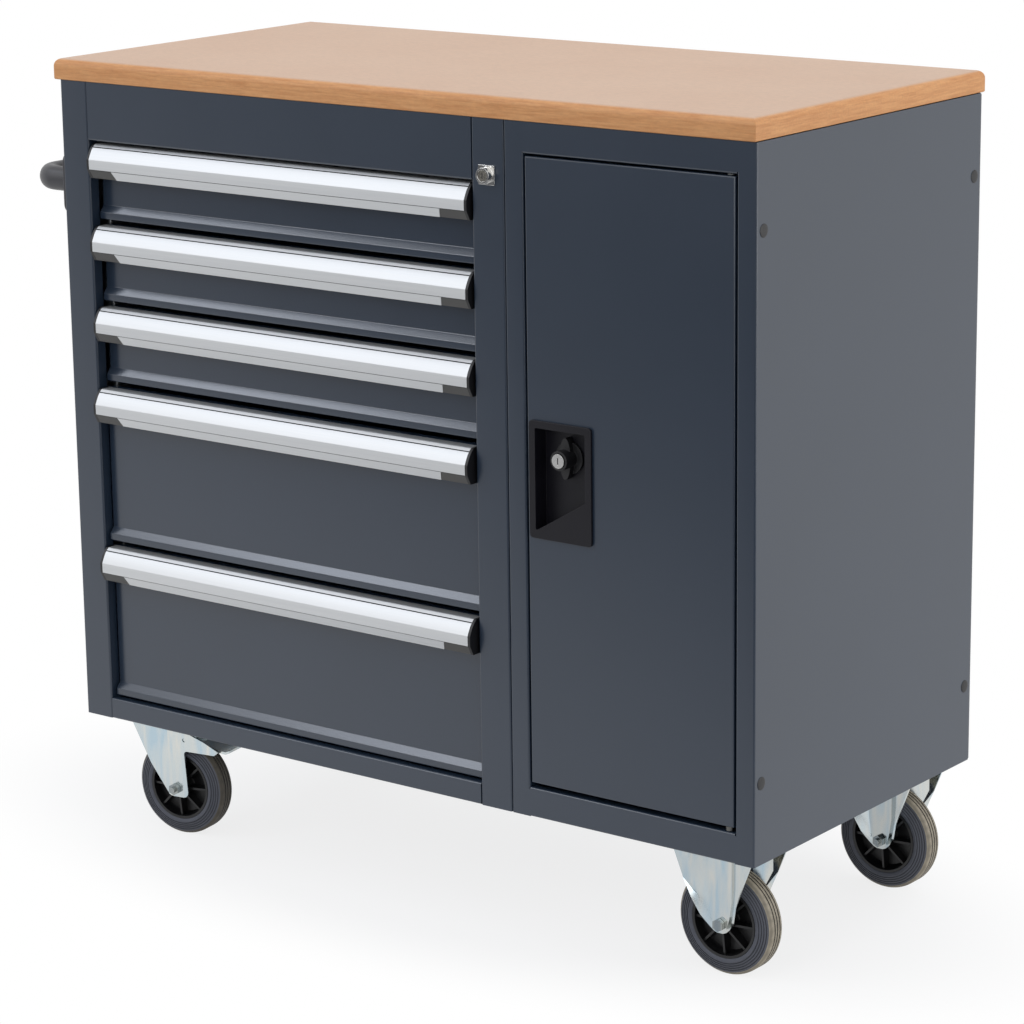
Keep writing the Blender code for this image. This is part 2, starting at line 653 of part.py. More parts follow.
LEAF_LEFT = DOOR_OPENING[0] + DOOR_SIDE_GAP
LEAF_RIGHT = DOOR_OPENING[1] - DOOR_SIDE_GAP
LEAF_BOTTOM = DOOR_RAIL + DOOR_BOTTOM_GAP
LEAF_TOP = DOOR_OPENING_TOP - DOOR_TOP_GAP
HINGE_X = LEAF_RIGHT - HINGE_INSET
KNOB_X = LEAF_LEFT + POCKET_CENTRE_FROM_EDGE
KNOB_Z = POCKET_BOTTOM + KNOB_RISE


def make_hinge_pins():
    for name, seat, plate, upward in (
            ("hinge_pin_upper", DOOR_OPENING_TOP, LEAF_TOP, -1),
            ("hinge_pin_lower", DOOR_RAIL, LEAF_BOTTOM, 1)):
        foot = seat + upward * SEAT_GAP
        neck = plate - upward * SEAT_GAP
        tip = plate + upward * PIN_REACH
        profile = [(0.0, tip), (PIN_RADIUS, tip), (PIN_RADIUS, neck), (PIN_COLLAR, neck),
                   (PIN_COLLAR, foot), (0.0, foot)]
        if upward < 0:
            profile.reverse()
        turned(name, profile, 24, ZINC, location=(HINGE_X, HINGE_DEPTH, 0.0))


def make_door_leaf(hinge):
    low = (LEAF_LEFT - HINGE_X, -HINGE_DEPTH, LEAF_BOTTOM)
    high = (LEAF_RIGHT - HINGE_X, DOOR_DEPTH - HINGE_DEPTH, LEAF_TOP)
    bm = block(low, high)
    depth = max(vert.co.y for vert in bm.verts)
    open_back = [side for side in bm.faces if all(vert.co.y == depth for vert in side.verts)]
    bmesh.ops.delete(bm, geom=open_back, context="FACES")
    leaf = add_mesh("door_leaf", bm, PANEL_PAINT, parent=hinge)
    skin = leaf.modifiers.new("sheet_thickness", "SOLIDIFY")
    skin.thickness = DOOR_SHEET
    skin.offset = -1.0
    skin.use_even_offset = True
    for name, plate in (("pin_hole_upper", LEAF_TOP), ("pin_hole_lower", LEAF_BOTTOM)):
        cut(leaf, rod(name, PIN_RADIUS + HOLE_PLAY, plate - CUT_OVERRUN, plate + CUT_OVERRUN,
                      "z", (0.0, 0.0, 0.0), PANEL_PAINT, parent=hinge))
    inset = POCKET_BODY_INSET - HOLE_PLAY
    left = KNOB_X - HINGE_X - POCKET_WIDTH / 2
    cut(leaf, add_mesh("pocket_window", block(
        (left + inset, low[1] - CUT_OVERRUN, POCKET_BOTTOM + inset),
        (left + POCKET_WIDTH - inset, low[1] + DOOR_SHEET + CUT_OVERRUN,
         POCKET_BOTTOM + POCKET_HEIGHT - inset)), PANEL_PAINT, parent=hinge))


def make_door_pocket(hinge):
    """The moulded pocket: a flat rim on the door's face and a well behind it, with a ramp."""
    left = KNOB_X - HINGE_X - POCKET_WIDTH / 2
    right = left + POCKET_WIDTH
    face = -HINGE_DEPTH - SEAT_GAP
    top = POCKET_BOTTOM + POCKET_HEIGHT
    back = POCKET_DEPTH + POCKET_WALL - HINGE_DEPTH
    frame = rounded([(POCKET_BOTTOM, left), (top, left), (top, right), (POCKET_BOTTOM, right)],
                    POCKET_CORNER, closed=True)
    pocket = prism("door_pocket", frame, "zxy", face - POCKET_FLANGE_THICKNESS, face,
                   BLACK_PLASTIC, parent=hinge)
    inset = POCKET_BODY_INSET
    weld(pocket, add_mesh("pocket_body", block(
        (left + inset, face - POCKET_FLANGE_THICKNESS / 2, POCKET_BOTTOM + inset),
        (right - inset, back, top - inset)), BLACK_PLASTIC, parent=hinge))
    well = [(POCKET_BOTTOM + POCKET_RIM, left + POCKET_RIM),
            (top - POCKET_RIM, left + POCKET_RIM),
            (top - POCKET_RIM, right - POCKET_RIM),
            (POCKET_BOTTOM + POCKET_RIM + POCKET_RAMP_RISE, right - POCKET_RIM)]
    well = rounded(well, POCKET_WELL_CORNER, closed=True)
    cut(pocket, prism("pocket_well", well, "zxy", face - POCKET_FLANGE_THICKNESS - CUT_OVERRUN,
                      POCKET_DEPTH - HINGE_DEPTH, BLACK_PLASTIC, parent=hinge))
    cut(pocket, rod("spindle_hole", SPINDLE + HOLE_PLAY, POCKET_DEPTH - CUT_OVERRUN,
                    POCKET_DEPTH + POCKET_WALL + CUT_OVERRUN, "y",
                    (KNOB_X - HINGE_X, -HINGE_DEPTH, KNOB_Z), BLACK_PLASTIC, parent=hinge))


def make_knob(hinge):
    turn = add_empty("door_knob_pivot", (KNOB_X - HINGE_X, -HINGE_DEPTH, KNOB_Z), hinge)
    here = (0.0, 0.0, 0.0)
    floor_y = POCKET_DEPTH - SEAT_GAP
    disc_y = floor_y - KNOB_BASE_THICKNESS
    plug_proud = KNOB_PROUD + LOCK_PLATE_THICKNESS
    knob = rod("door_knob", KNOB_BASE, disc_y, floor_y, "y", here, BLACK_PLASTIC, steps=32,
               parent=turn)
    wing = []
    for step in range(WING_STEPS):
        angle = math.tau * step / WING_STEPS
        wing.append((WING_HEIGHT / 2 * math.cos(angle), WING_WIDTH / 2 * math.sin(angle)))
    weld(knob, prism("knob_wing", wing, "zxy", disc_y - WING_DEPTH,
                     disc_y + KNOB_BASE_THICKNESS / 2, BLACK_PLASTIC, parent=turn))
    weld(knob, rod("knob_boss", KNOB_BOSS, -KNOB_PROUD, disc_y + KNOB_BASE_THICKNESS / 2, "y",
                   here, BLACK_PLASTIC, parent=turn))
    cut(knob, rod("key_bore", KEY_PLUG + HOLE_PLAY, -KNOB_PROUD - CUT_OVERRUN,
                  KEY_PLUG_LENGTH - KNOB_PROUD, "y", here, BLACK_PLASTIC, parent=turn))
    plug = rod("door_key_plug", KEY_PLUG, -plug_proud,
               KEY_PLUG_LENGTH - KNOB_PROUD - SEAT_GAP, "y", here, CHROME, parent=turn)
    cut(plug, add_mesh("key_plug_keyway", block(
        (-KEYWAY_WIDTH / 2, -plug_proud - CUT_OVERRUN, -KEYWAY_HEIGHT / 2),
        (KEYWAY_WIDTH / 2, KEYWAY_DEPTH - plug_proud, KEYWAY_HEIGHT / 2)),
        CHROME, parent=turn))
    cam = [(LATCH_WIDTH / 2, LATCH_WIDTH / 2), (LATCH_WIDTH / 2, -LATCH_WIDTH / 2),
           (-LATCH_LENGTH, -LATCH_WIDTH / 2), (-LATCH_LENGTH, LATCH_WIDTH / 2)]
    latch_y = DOOR_DEPTH + SEAT_GAP
    latch = prism("door_latch_cam", rounded(cam, LATCH_WIDTH / 3, closed=True), "zxy", latch_y,
                  latch_y + CAM_THICKNESS, ZINC, parent=turn)
    weld(latch, rod("latch_spindle", SPINDLE, floor_y + SEAT_GAP, latch_y + CAM_THICKNESS / 2,
                    "y", here, ZINC, parent=turn))


def make_door():
    make_hinge_pins()
    hinge = add_empty("door_hinge", (HINGE_X, HINGE_DEPTH, 0.0), CART)
    make_door_leaf(hinge)
    make_door_pocket(hinge)
    make_knob(hinge)


# Push handle: a moulded oval bow on the left side, with a foot plate under each end
PUSH_CENTRE_DROP = 0.1238
PUSH_MARGIN = 0.002
PUSH_BOW_INSET = 0.004
PUSH_HEIGHT = 0.030
PUSH_SECTION = 0.026
PUSH_BEND = 0.026
PUSH_FOOT_THICKNESS = 0.0040
PUSH_FOOT_WIDTH = 0.040
PUSH_FOOT_ABOVE = 0.0348
PUSH_FOOT_BELOW = 0.0402
PUSH_FOOT_CORNER = 0.012
PUSH_EMBED = 0.002


def make_push_handle():
    centre_z = CABINET_HEIGHT - PUSH_CENTRE_DROP
    radius = PUSH_SECTION / 2
    bar_x = radius - PUSH_REACH
    front = PUSH_MARGIN + PUSH_BOW_INSET + radius
    back = CABINET_DEPTH - front
    root = -SEAT_GAP - PUSH_EMBED
    route = rounded([(root, front), (bar_x, front), (bar_x, back), (root, back)], PUSH_BEND,
                    steps=6)
    path = bpy.data.curves.new("push_handle", "CURVE")
    path.dimensions = "3D"
    path.bevel_depth = radius
    path.bevel_resolution = 4
    path.use_fill_caps = True
    line = path.splines.new("POLY")
    line.points.add(len(route) - 1)
    for knot, point in zip(line.points, route):
        knot.co = (point.x, point.y, 0.0, 1.0)
    sweep = bpy.data.objects.new("push_path", path)
    CUTTERS.objects.link(sweep)
    evaluated = sweep.evaluated_get(bpy.context.evaluated_depsgraph_get())
    solid = bpy.data.meshes.new_from_object(evaluated)
    bm = bmesh.new()
    bm.from_mesh(solid)
    bpy.data.objects.remove(sweep)
    bpy.data.meshes.remove(solid)
    bmesh.ops.remove_doubles(bm, verts=bm.verts, dist=MERGE_DISTANCE)
    for vert in bm.verts:
        vert.co.z = centre_z + vert.co.z * PUSH_HEIGHT / PUSH_SECTION
    handle = add_mesh("push_handle", bm, BLACK_PLASTIC)
    shade_round(handle)
    for name, low in (("push_foot_front", PUSH_MARGIN),
                      ("push_foot_back", CABINET_DEPTH - PUSH_MARGIN - PUSH_FOOT_WIDTH)):
        corners = [(low, centre_z - PUSH_FOOT_BELOW), (low + PUSH_FOOT_WIDTH, centre_z - PUSH_FOOT_BELOW),
                   (low + PUSH_FOOT_WIDTH, centre_z + PUSH_FOOT_ABOVE), (low, centre_z + PUSH_FOOT_ABOVE)]
        foot = rounded(corners, PUSH_FOOT_CORNER, closed=True)
        weld(handle, prism(name, foot, "yzx", -SEAT_GAP - PUSH_FOOT_THICKNESS, -SEAT_GAP,
                           BLACK_PLASTIC))


# Casters: two fixed ones on the right, and two swivelling ones with brake levers on the left
CASTER_INSET_X = 0.071
CASTER_INSET_Y = 0.0618
CASTER_TRAIL = 0.032
FRONT_SWIVEL_DEGREES = 8.1
BACK_SWIVEL_DEGREES = 5.0
PLATE_LENGTH = 0.105
PLATE_WIDTH = 0.085
PLATE_THICKNESS = 0.003
AXLE_RADIUS = 0.004
AXLE_PLAY = 0.0003
NUT_ACROSS = 0.013
NUT_HEIGHT = 0.0055
AXLE_END = 0.004
TYRE_TREAD_HALF = 0.0085
TYRE_SHOULDER_HALF = 0.0125
TYRE_SHOULDER_DROP = 0.0035
TYRE_SIDE_HALF = 0.0165
TYRE_INNER_RADIUS = 0.0460
RIM_SEAT_RADIUS = 0.0420
RIM_HALF = 0.0155
RIM_INNER_RADIUS = 0.0385
RIM_WEB_HALF = 0.0030
HUB_RADIUS = 0.0120
HUB_HALF = 0.0190
SPOKE_COUNT = 8
SPOKE_THICKNESS = 0.0025
SPOKE_HALF = 0.0125

AXLE_DROP = CASTER_HEIGHT - WHEEL_RADIUS
PLATE_UNDERSIDE = AXLE_DROP - SEAT_GAP - PLATE_THICKNESS


def tyre(name, parent):
    """A rubber tyre with a flat tread and sloping sides, about the axle."""
    profile = [(TYRE_INNER_RADIUS, TYRE_SIDE_HALF),
               (WHEEL_RADIUS - TYRE_SHOULDER_DROP, TYRE_SHOULDER_HALF),
               (WHEEL_RADIUS, TYRE_TREAD_HALF), (WHEEL_RADIUS, -TYRE_TREAD_HALF),
               (WHEEL_RADIUS - TYRE_SHOULDER_DROP, -TYRE_SHOULDER_HALF),
               (TYRE_INNER_RADIUS, -TYRE_SIDE_HALF),
               (RIM_SEAT_RADIUS + SEAT_GAP, -RIM_HALF), (RIM_SEAT_RADIUS + SEAT_GAP, RIM_HALF)]
    turned(name, profile, 44, RUBBER, closed=True, parent=parent,
           rotation=(math.pi / 2, 0.0, 0.0))


def rim(name, parent):
    """A moulded rim: an outer ring, a thin web, a hub with its bore, and spokes on both sides."""
    bore = AXLE_RADIUS + AXLE_PLAY
    profile = [(RIM_INNER_RADIUS, RIM_HALF), (RIM_SEAT_RADIUS, RIM_HALF),
               (RIM_SEAT_RADIUS, -RIM_HALF), (RIM_INNER_RADIUS, -RIM_HALF),
               (RIM_INNER_RADIUS, -RIM_WEB_HALF), (HUB_RADIUS, -RIM_WEB_HALF),
               (HUB_RADIUS, -HUB_HALF), (bore, -HUB_HALF), (bore, HUB_HALF),
               (HUB_RADIUS, HUB_HALF), (HUB_RADIUS, RIM_WEB_HALF),
               (RIM_INNER_RADIUS, RIM_WEB_HALF)]
    wheel = turned(name, profile, 28, BLACK_PLASTIC, closed=True, parent=parent,
                   rotation=(math.pi / 2, 0.0, 0.0))
    middle = (HUB_RADIUS + RIM_INNER_RADIUS) / 2
    reach = (RIM_SEAT_RADIUS - HUB_RADIUS) / 2
    for index in range(SPOKE_COUNT):
        angle = math.tau * index / SPOKE_COUNT
        weld(wheel, add_mesh("%s_spoke_%d" % (name, index + 1), block(
            (-reach, -SPOKE_HALF, -SPOKE_THICKNESS / 2),
            (reach, SPOKE_HALF, SPOKE_THICKNESS / 2)), BLACK_PLASTIC, parent=parent,
            location=(middle * math.cos(angle), 0.0, middle * math.sin(angle)),
            rotation=(0.0, -angle, 0.0)))


def axle(name, parent, wall):
    """The axle bolt through bracket and hub, with a hexagon head and a nut on a threaded end."""
    seat = wall + SEAT_GAP
    bolt = rod(name, AXLE_RADIUS, -seat - AXLE_END - NUT_HEIGHT, seat + NUT_HEIGHT / 2, "y",
               (0.0, 0.0, 0.0), ZINC, steps=16, parent=parent)
    hexagon = []
    for step in range(6):
        angle = math.tau * step / 6
        corner = NUT_ACROSS / math.sqrt(3)
        hexagon.append((corner * math.cos(angle), corner * math.sin(angle)))
    for tag, low, high in (("nut", -seat - NUT_HEIGHT, -seat), ("head", seat, seat + NUT_HEIGHT)):
        weld(bolt, prism("%s_%s" % (name, tag), hexagon, "zxy", low, high, ZINC, parent=parent))


def make_wheel(name, carrier, wall, flip):
    """The tyre and rim turn about the axle. The axle stays with its bracket."""
    hub = add_empty(name + "_hub", (0.0, 0.0, 0.0), carrier)
    tyre(name + "_tyre", hub)
    rim(name + "_rim", hub)
    line = add_empty(name + "_axle_line", (0.0, 0.0, 0.0), carrier, turn=math.pi if flip else 0.0)
    axle(name + "_axle", line, wall)


# Fixed brackets: a top plate with two legs bent down from its long edges and pressed in to the hub
LEG_SHEET = 0.0025
LEG_CHANNEL_FACE = 0.0220
LEG_CHANNEL_HALF = 0.0155
LEG_CHANNEL_SHARE = 0.6
LEG_FLANK_RUN = 0.016
LEG_SPREAD = 0.0165
# Each row of a leg: rise above the axle and half width as shares of the wheel's radius, and how
# far its edges stand out from the channel as a share of the spread
LEG_ROW_SHARES = ((0.848, 0.619, 1.00), (0.456, 0.451, 0.88), (0.152, 0.339, 0.48),
                  (0.032, 0.285, 0.21), (-0.064, 0.216, 0.06), (-0.136, 0.136, 0.01),
                  (-0.168, 0.064, 0.00))
LEG_TOP_SHARE = 0.864


def leg_row(half_width, stand_out):
    """Half of one row: distances from the middle, with how far out the face stands at each."""
    channel = min(LEG_CHANNEL_HALF, half_width * LEG_CHANNEL_SHARE)
    run = half_width - channel
    share = 1.0 if run > LEG_FLANK_RUN else 0.5
    shoulder = channel + min(run, LEG_FLANK_RUN) * share
    return ((channel, LEG_CHANNEL_FACE), (shoulder, LEG_CHANNEL_FACE + stand_out * share),
            (half_width, LEG_CHANNEL_FACE + stand_out))


def pressed_leg(name, side, carrier):
    """One leg, with a straight channel pressed down its middle. side is -1 in front."""
    bm = bmesh.new()
    rows = []
    top = (PLATE_UNDERSIDE + PLATE_THICKNESS / 2, WHEEL_RADIUS * LEG_TOP_SHARE, LEG_SPREAD)
    levels = [(WHEEL_RADIUS * rise, WHEEL_RADIUS * half_width, LEG_SPREAD * out)
              for rise, half_width, out in LEG_ROW_SHARES]
    for rise, half_width, stand_out in [top] + levels:
        half = leg_row(half_width, stand_out)
        across = [(-reach, out) for reach, out in reversed(half)] + list(half)
        rows.append([bm.verts.new((reach, side * out, rise)) for reach, out in across])
    for upper, lower in zip(rows, rows[1:]):
        for column in range(len(upper) - 1):
            corners = (upper[column], lower[column], lower[column + 1], upper[column + 1])
            bm.faces.new(corners if side < 0 else corners[::-1])
    leg = add_mesh(name, bm, ZINC, parent=carrier)
    skin = leg.modifiers.new("sheet_thickness", "SOLIDIFY")
    skin.thickness = LEG_SHEET
    skin.offset = -1.0
    skin.use_even_offset = True
    return leg


def fixed_caster(name, x, y, flip):
    carrier = add_empty(name + "_caster", (x, y, -AXLE_DROP), CART)
    plate = add_mesh(name + "_bracket", block(
        (-PLATE_LENGTH / 2, -PLATE_WIDTH / 2, PLATE_UNDERSIDE),
        (PLATE_LENGTH / 2, PLATE_WIDTH / 2, PLATE_UNDERSIDE + PLATE_THICKNESS)), ZINC,
        parent=carrier)
    for side in (-1, 1):
        weld(plate, pressed_leg("%s_leg_%d" % (name, side + 2), side, carrier))
    reach = LEG_CHANNEL_FACE + CUT_OVERRUN
    cut(plate, rod(name + "_axle_hole", AXLE_RADIUS + AXLE_PLAY, -reach, reach, "y",
                   (0.0, 0.0, 0.0), ZINC, steps=16, parent=carrier))
    make_wheel(name, carrier, LEG_CHANNEL_FACE, flip)


# Swivel casters: a plate with its kingpin, and a fork that turns on it and carries the brake lever
FORK_INSIDE = 0.043
FORK_SHEET = 0.0025
FORK_STEP = 0.0012
FORK_STEP_X = -0.0105
RACE_RADIUS = 0.030
RACE_HEIGHT = 0.008
CROWN_THICKNESS = 0.003
KINGPIN_RADIUS = 0.006
KINGPIN_HEAD = 0.011
KINGPIN_HEAD_HEIGHT = 0.0025
LEVER_REACH_SHARE = 0.235
LEVER_RISE_SHARE = 1.045
LEVER_PIN = 0.0022
LEVER_WIDTH = 0.034

FORK_OUTSIDE = FORK_INSIDE + 2 * FORK_SHEET
CROWN_TOP = PLATE_UNDERSIDE - RACE_HEIGHT - SEAT_GAP
LEVER_X = WHEEL_RADIUS * LEVER_REACH_SHARE
LEVER_RISE = WHEEL_RADIUS * LEVER_RISE_SHARE
# Side outlines: reach along the wheel from the axle, and rise above it, as shares of the wheel's
# radius. The fork's outline ends at its crown.
FORK_OUTLINE_SHARES = ((-0.602, 0.467), (-0.152, -0.168), (0.304, -0.168), (0.224, 0.816),
                       (0.944, 0.819), (1.059, 0.899), (0.704, 1.064), (0.328, 1.192))
FORK_CROWN_SHARES = (-1.024, 0.096)
FORK_ROUND_SHARES = (0.48, 0.192, 0.112, 0.064, 0.032, 0.032, 0.0, 0.0)
LEVER_OUTLINE_SHARES = ((0.184, 1.096), (0.480, 1.096), (0.736, 0.995), (0.960, 0.912),
                        (1.152, 0.896), (1.248, 0.936), (1.248, 0.888), (1.152, 0.845),
                        (0.944, 0.861), (0.720, 0.944), (0.544, 1.008), (0.536, 0.854),
                        (0.424, 0.915), (0.408, 1.032), (0.288, 1.032), (0.256, 0.998),
                        (0.184, 0.998))


def fork_outline():
    """The fork's side, in reach and rise from the axle, with its corners rounded."""
    points = [(WHEEL_RADIUS * FORK_CROWN_SHARES[0], CROWN_TOP)]
    points += [(WHEEL_RADIUS * reach, WHEEL_RADIUS * rise) for reach, rise in FORK_OUTLINE_SHARES]
    points.append((WHEEL_RADIUS * FORK_CROWN_SHARES[1], CROWN_TOP))
    rounds = [0.0] + [WHEEL_RADIUS * share for share in FORK_ROUND_SHARES] + [0.0]
    return [(point.x, point.y) for point in rounded(points, rounds, closed=True)]


def fork_sides(name, carrier):
    """A sheet bent over the wheel. Its sides stand further out in front of the step."""
    half = FORK_OUTSIDE / 2
    outline = fork_outline()
    fork = prism(name, [(rise, reach) for reach, rise in outline], "zxy", -half, half, ZINC,
                 parent=carrier)
    ahead = max(reach for reach, _ in outline) + CUT_OVERRUN
    behind = min(reach for reach, _ in outline) - CUT_OVERRUN
    cut(fork, add_mesh(name + "_inside", block(
        (behind, -FORK_INSIDE / 2, -WHEEL_RADIUS),
        (ahead, FORK_INSIDE / 2, CROWN_TOP - CROWN_THICKNESS)), ZINC, parent=carrier))
    for side in (-1, 1):
        span = sorted((side * (half - FORK_STEP), side * (half + CUT_OVERRUN)))
        cut(fork, add_mesh("%s_step_%d" % (name, side + 2), block(
            (behind, span[0], -WHEEL_RADIUS), (FORK_STEP_X, span[1], AXLE_DROP)), ZINC,
            parent=carrier))
    for tag, radius, reach, rise in (("axle_hole", AXLE_RADIUS, 0.0, 0.0),
                                     ("lever_hole", LEVER_PIN, LEVER_X, LEVER_RISE)):
        cut(fork, rod("%s_%s" % (name, tag), radius + AXLE_PLAY, -FORK_OUTSIDE, FORK_OUTSIDE, "y",
                      (reach, 0.0, rise), ZINC, steps=16, parent=carrier))
    return fork


def brake_lever(name, carrier):
    """The brake lever: it turns on a pin in the fork, and its shoe stands just off the tyre."""
    pivot = add_empty(name + "_pivot", (LEVER_X, 0.0, LEVER_RISE), carrier)
    outline = [(WHEEL_RADIUS * rise - LEVER_RISE, WHEEL_RADIUS * reach - LEVER_X)
               for reach, rise in LEVER_OUTLINE_SHARES]
    lever = prism(name, outline, "zxy", -LEVER_WIDTH / 2, LEVER_WIDTH / 2, ZINC, parent=pivot)
    reach = FORK_INSIDE / 2 + FORK_SHEET / 2
    weld(lever, rod(name + "_pin", LEVER_PIN, -reach, reach, "y", (0.0, 0.0, 0.0), ZINC, steps=12,
                    parent=pivot))


def swivel_plate(name, x, y):
    """The top plate, with the race and kingpin that hold the fork."""
    place = add_empty(name + "_plate_place", (x, y, -AXLE_DROP), CART)
    plate = add_mesh(name + "_plate", block(
        (-PLATE_LENGTH / 2, -PLATE_WIDTH / 2, PLATE_UNDERSIDE),
        (PLATE_LENGTH / 2, PLATE_WIDTH / 2, PLATE_UNDERSIDE + PLATE_THICKNESS)), ZINC,
        parent=place)
    buried = PLATE_UNDERSIDE + PLATE_THICKNESS / 2
    race = CROWN_TOP + SEAT_GAP
    head = CROWN_TOP - CROWN_THICKNESS - SEAT_GAP
    profile = [(0.0, buried), (RACE_RADIUS, buried), (RACE_RADIUS, race), (KINGPIN_RADIUS, race),
               (KINGPIN_RADIUS, head), (KINGPIN_HEAD, head),
               (KINGPIN_HEAD, head - KINGPIN_HEAD_HEIGHT), (0.0, head - KINGPIN_HEAD_HEIGHT)]
    weld(plate, turned(name + "_kingpin", profile, 24, ZINC, parent=place))


def swivel_caster(name, x, y, degrees, flip):
    swivel_plate(name, x, y)
    swivel = add_empty(name + "_swivel", (x, y, 0.0), CART, turn=math.radians(degrees))
    carrier = add_empty(name + "_caster", (CASTER_TRAIL, 0.0, -AXLE_DROP), swivel)
    fork = fork_sides(name + "_fork", carrier)
    weld(fork, rod(name + "_crown", RACE_RADIUS, CROWN_TOP - CROWN_THICKNESS, CROWN_TOP, "z",
                   (-CASTER_TRAIL, 0.0, 0.0), ZINC, steps=24, parent=carrier))
    cut(fork, rod(name + "_kingpin_hole", KINGPIN_RADIUS + AXLE_PLAY,
                  CROWN_TOP - CROWN_THICKNESS - CUT_OVERRUN, CROWN_TOP + CUT_OVERRUN, "z",
                  (-CASTER_TRAIL, 0.0, 0.0), ZINC, steps=24, parent=carrier))
    make_wheel(name, carrier, FORK_OUTSIDE / 2, flip)
    brake_lever(name + "_brake_lever", carrier)


def make_casters():
    right = CABINET_WIDTH - CASTER_INSET_X
    back = CABINET_DEPTH - CASTER_INSET_Y
    fixed_caster("front_right", right, CASTER_INSET_Y, True)
    fixed_caster("back_right", right, back, False)
    swivel_caster("front_left", CASTER_INSET_X, CASTER_INSET_Y, FRONT_SWIVEL_DEGREES, False)
    swivel_caster("back_left", CASTER_INSET_X, back, BACK_SWIVEL_DEGREES, False)


make_worktop()
make_side_panels()
make_plugs()
make_headers_and_floors()
make_shelf()
make_runner_walls()
make_drawers()
make_drawer_lock()
make_door()
make_push_handle()
make_casters()
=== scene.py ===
import json
import math

import bmesh
import bpy
from mathutils import Matrix, Vector

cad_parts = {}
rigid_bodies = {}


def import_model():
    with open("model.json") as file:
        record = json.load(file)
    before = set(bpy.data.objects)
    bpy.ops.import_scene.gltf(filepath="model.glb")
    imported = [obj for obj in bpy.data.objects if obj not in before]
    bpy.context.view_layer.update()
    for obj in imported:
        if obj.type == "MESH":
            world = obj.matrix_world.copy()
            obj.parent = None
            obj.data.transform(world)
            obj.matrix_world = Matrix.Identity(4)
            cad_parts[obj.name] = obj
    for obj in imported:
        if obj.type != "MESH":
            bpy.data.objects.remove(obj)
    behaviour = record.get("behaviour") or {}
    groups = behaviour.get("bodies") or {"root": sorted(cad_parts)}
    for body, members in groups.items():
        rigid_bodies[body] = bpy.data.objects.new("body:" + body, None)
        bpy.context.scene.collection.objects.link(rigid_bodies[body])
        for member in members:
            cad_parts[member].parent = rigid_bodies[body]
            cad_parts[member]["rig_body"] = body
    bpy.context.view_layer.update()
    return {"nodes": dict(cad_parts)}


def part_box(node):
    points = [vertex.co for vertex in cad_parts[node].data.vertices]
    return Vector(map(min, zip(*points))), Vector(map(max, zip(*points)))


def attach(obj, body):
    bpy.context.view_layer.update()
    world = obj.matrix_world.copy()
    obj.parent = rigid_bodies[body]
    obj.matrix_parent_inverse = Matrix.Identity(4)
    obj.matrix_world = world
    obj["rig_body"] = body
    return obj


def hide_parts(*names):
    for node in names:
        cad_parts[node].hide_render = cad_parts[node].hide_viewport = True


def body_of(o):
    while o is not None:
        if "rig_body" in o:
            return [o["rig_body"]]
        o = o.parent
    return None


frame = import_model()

NODES = frame["nodes"]


# Cabinet panels: sheet steel 1.0 to 1.5 mm thick, folded into sides, strips, floors and a back.
# They are cleaned, coated with anthracite polyester powder and baked, which leaves a fine
# orange-peel skin with a satin gloss. The sides are bolted together and the rest hooks in.
WELD_DISTANCE = 0.00001
FLAT_ANGLE = math.radians(0.6)
CREASE_ANGLE = math.radians(38)
COAT_DARK = "222e3c"
COAT_LIGHT = "2a3646"
COAT_SPECULAR = 0.8
COAT_PEEL = 0.0018
COAT_PEEL_RELIEF = 0.06
COAT_CLOUD = 0.120
# The powder's own specks are finer, and are drawn coarse enough to show
COAT_SPECK = 0.0009
COAT_ROUGHNESS = 0.28
COAT_GLOSS_SPREAD = 0.01
FOLD_STEPS = 5
FOLD_RADIUS = 0.00225
FOLD_OUTER_SHARE = 0.9


def linear(code):
    """A hex sRGB colour as linear RGBA, by the standard sRGB curve."""
    channels = [int(code[k:k + 2], 16) / 255 for k in (0, 2, 4)]
    return (*[c / 12.92 if c <= 0.04045 else ((c + 0.055) / 1.055) ** 2.4 for c in channels], 1.0)


def add(tree, kind, sockets, **settings):
    """Adds a node. Sockets take a value, or the output that feeds them.
    A colour mix has its share at socket 0 and its two colours at 6 and 7. A map range has the
    range that it reads at sockets 1 and 2, and the one that it gives at 3 and 4."""
    made = tree.nodes.new(kind)
    for name, value in settings.items():
        setattr(made, name, value)
    for socket, value in sockets.items():
        if isinstance(value, bpy.types.NodeSocket):
            tree.links.new(value, made.inputs[socket])
        else:
            made.inputs[socket].default_value = value
    return made


def new_finish(name, **sockets):
    """A material: its node tree, its shader and its object coordinates in metres."""
    finish = bpy.data.materials.new(name)
    finish.use_nodes = True
    tree = finish.node_tree
    shader = tree.nodes["Principled BSDF"]
    for socket, value in sockets.items():
        shader.inputs[socket.replace("_", " ")].default_value = value
    place = add(tree, "ShaderNodeTexCoord", {}).outputs["Object"]
    return finish, tree, shader, place


def join(tree, shader, **outputs):
    """Feeds the shader's sockets."""
    for socket, output in outputs.items():
        tree.links.new(output, shader.inputs[socket.replace("_", " ")])


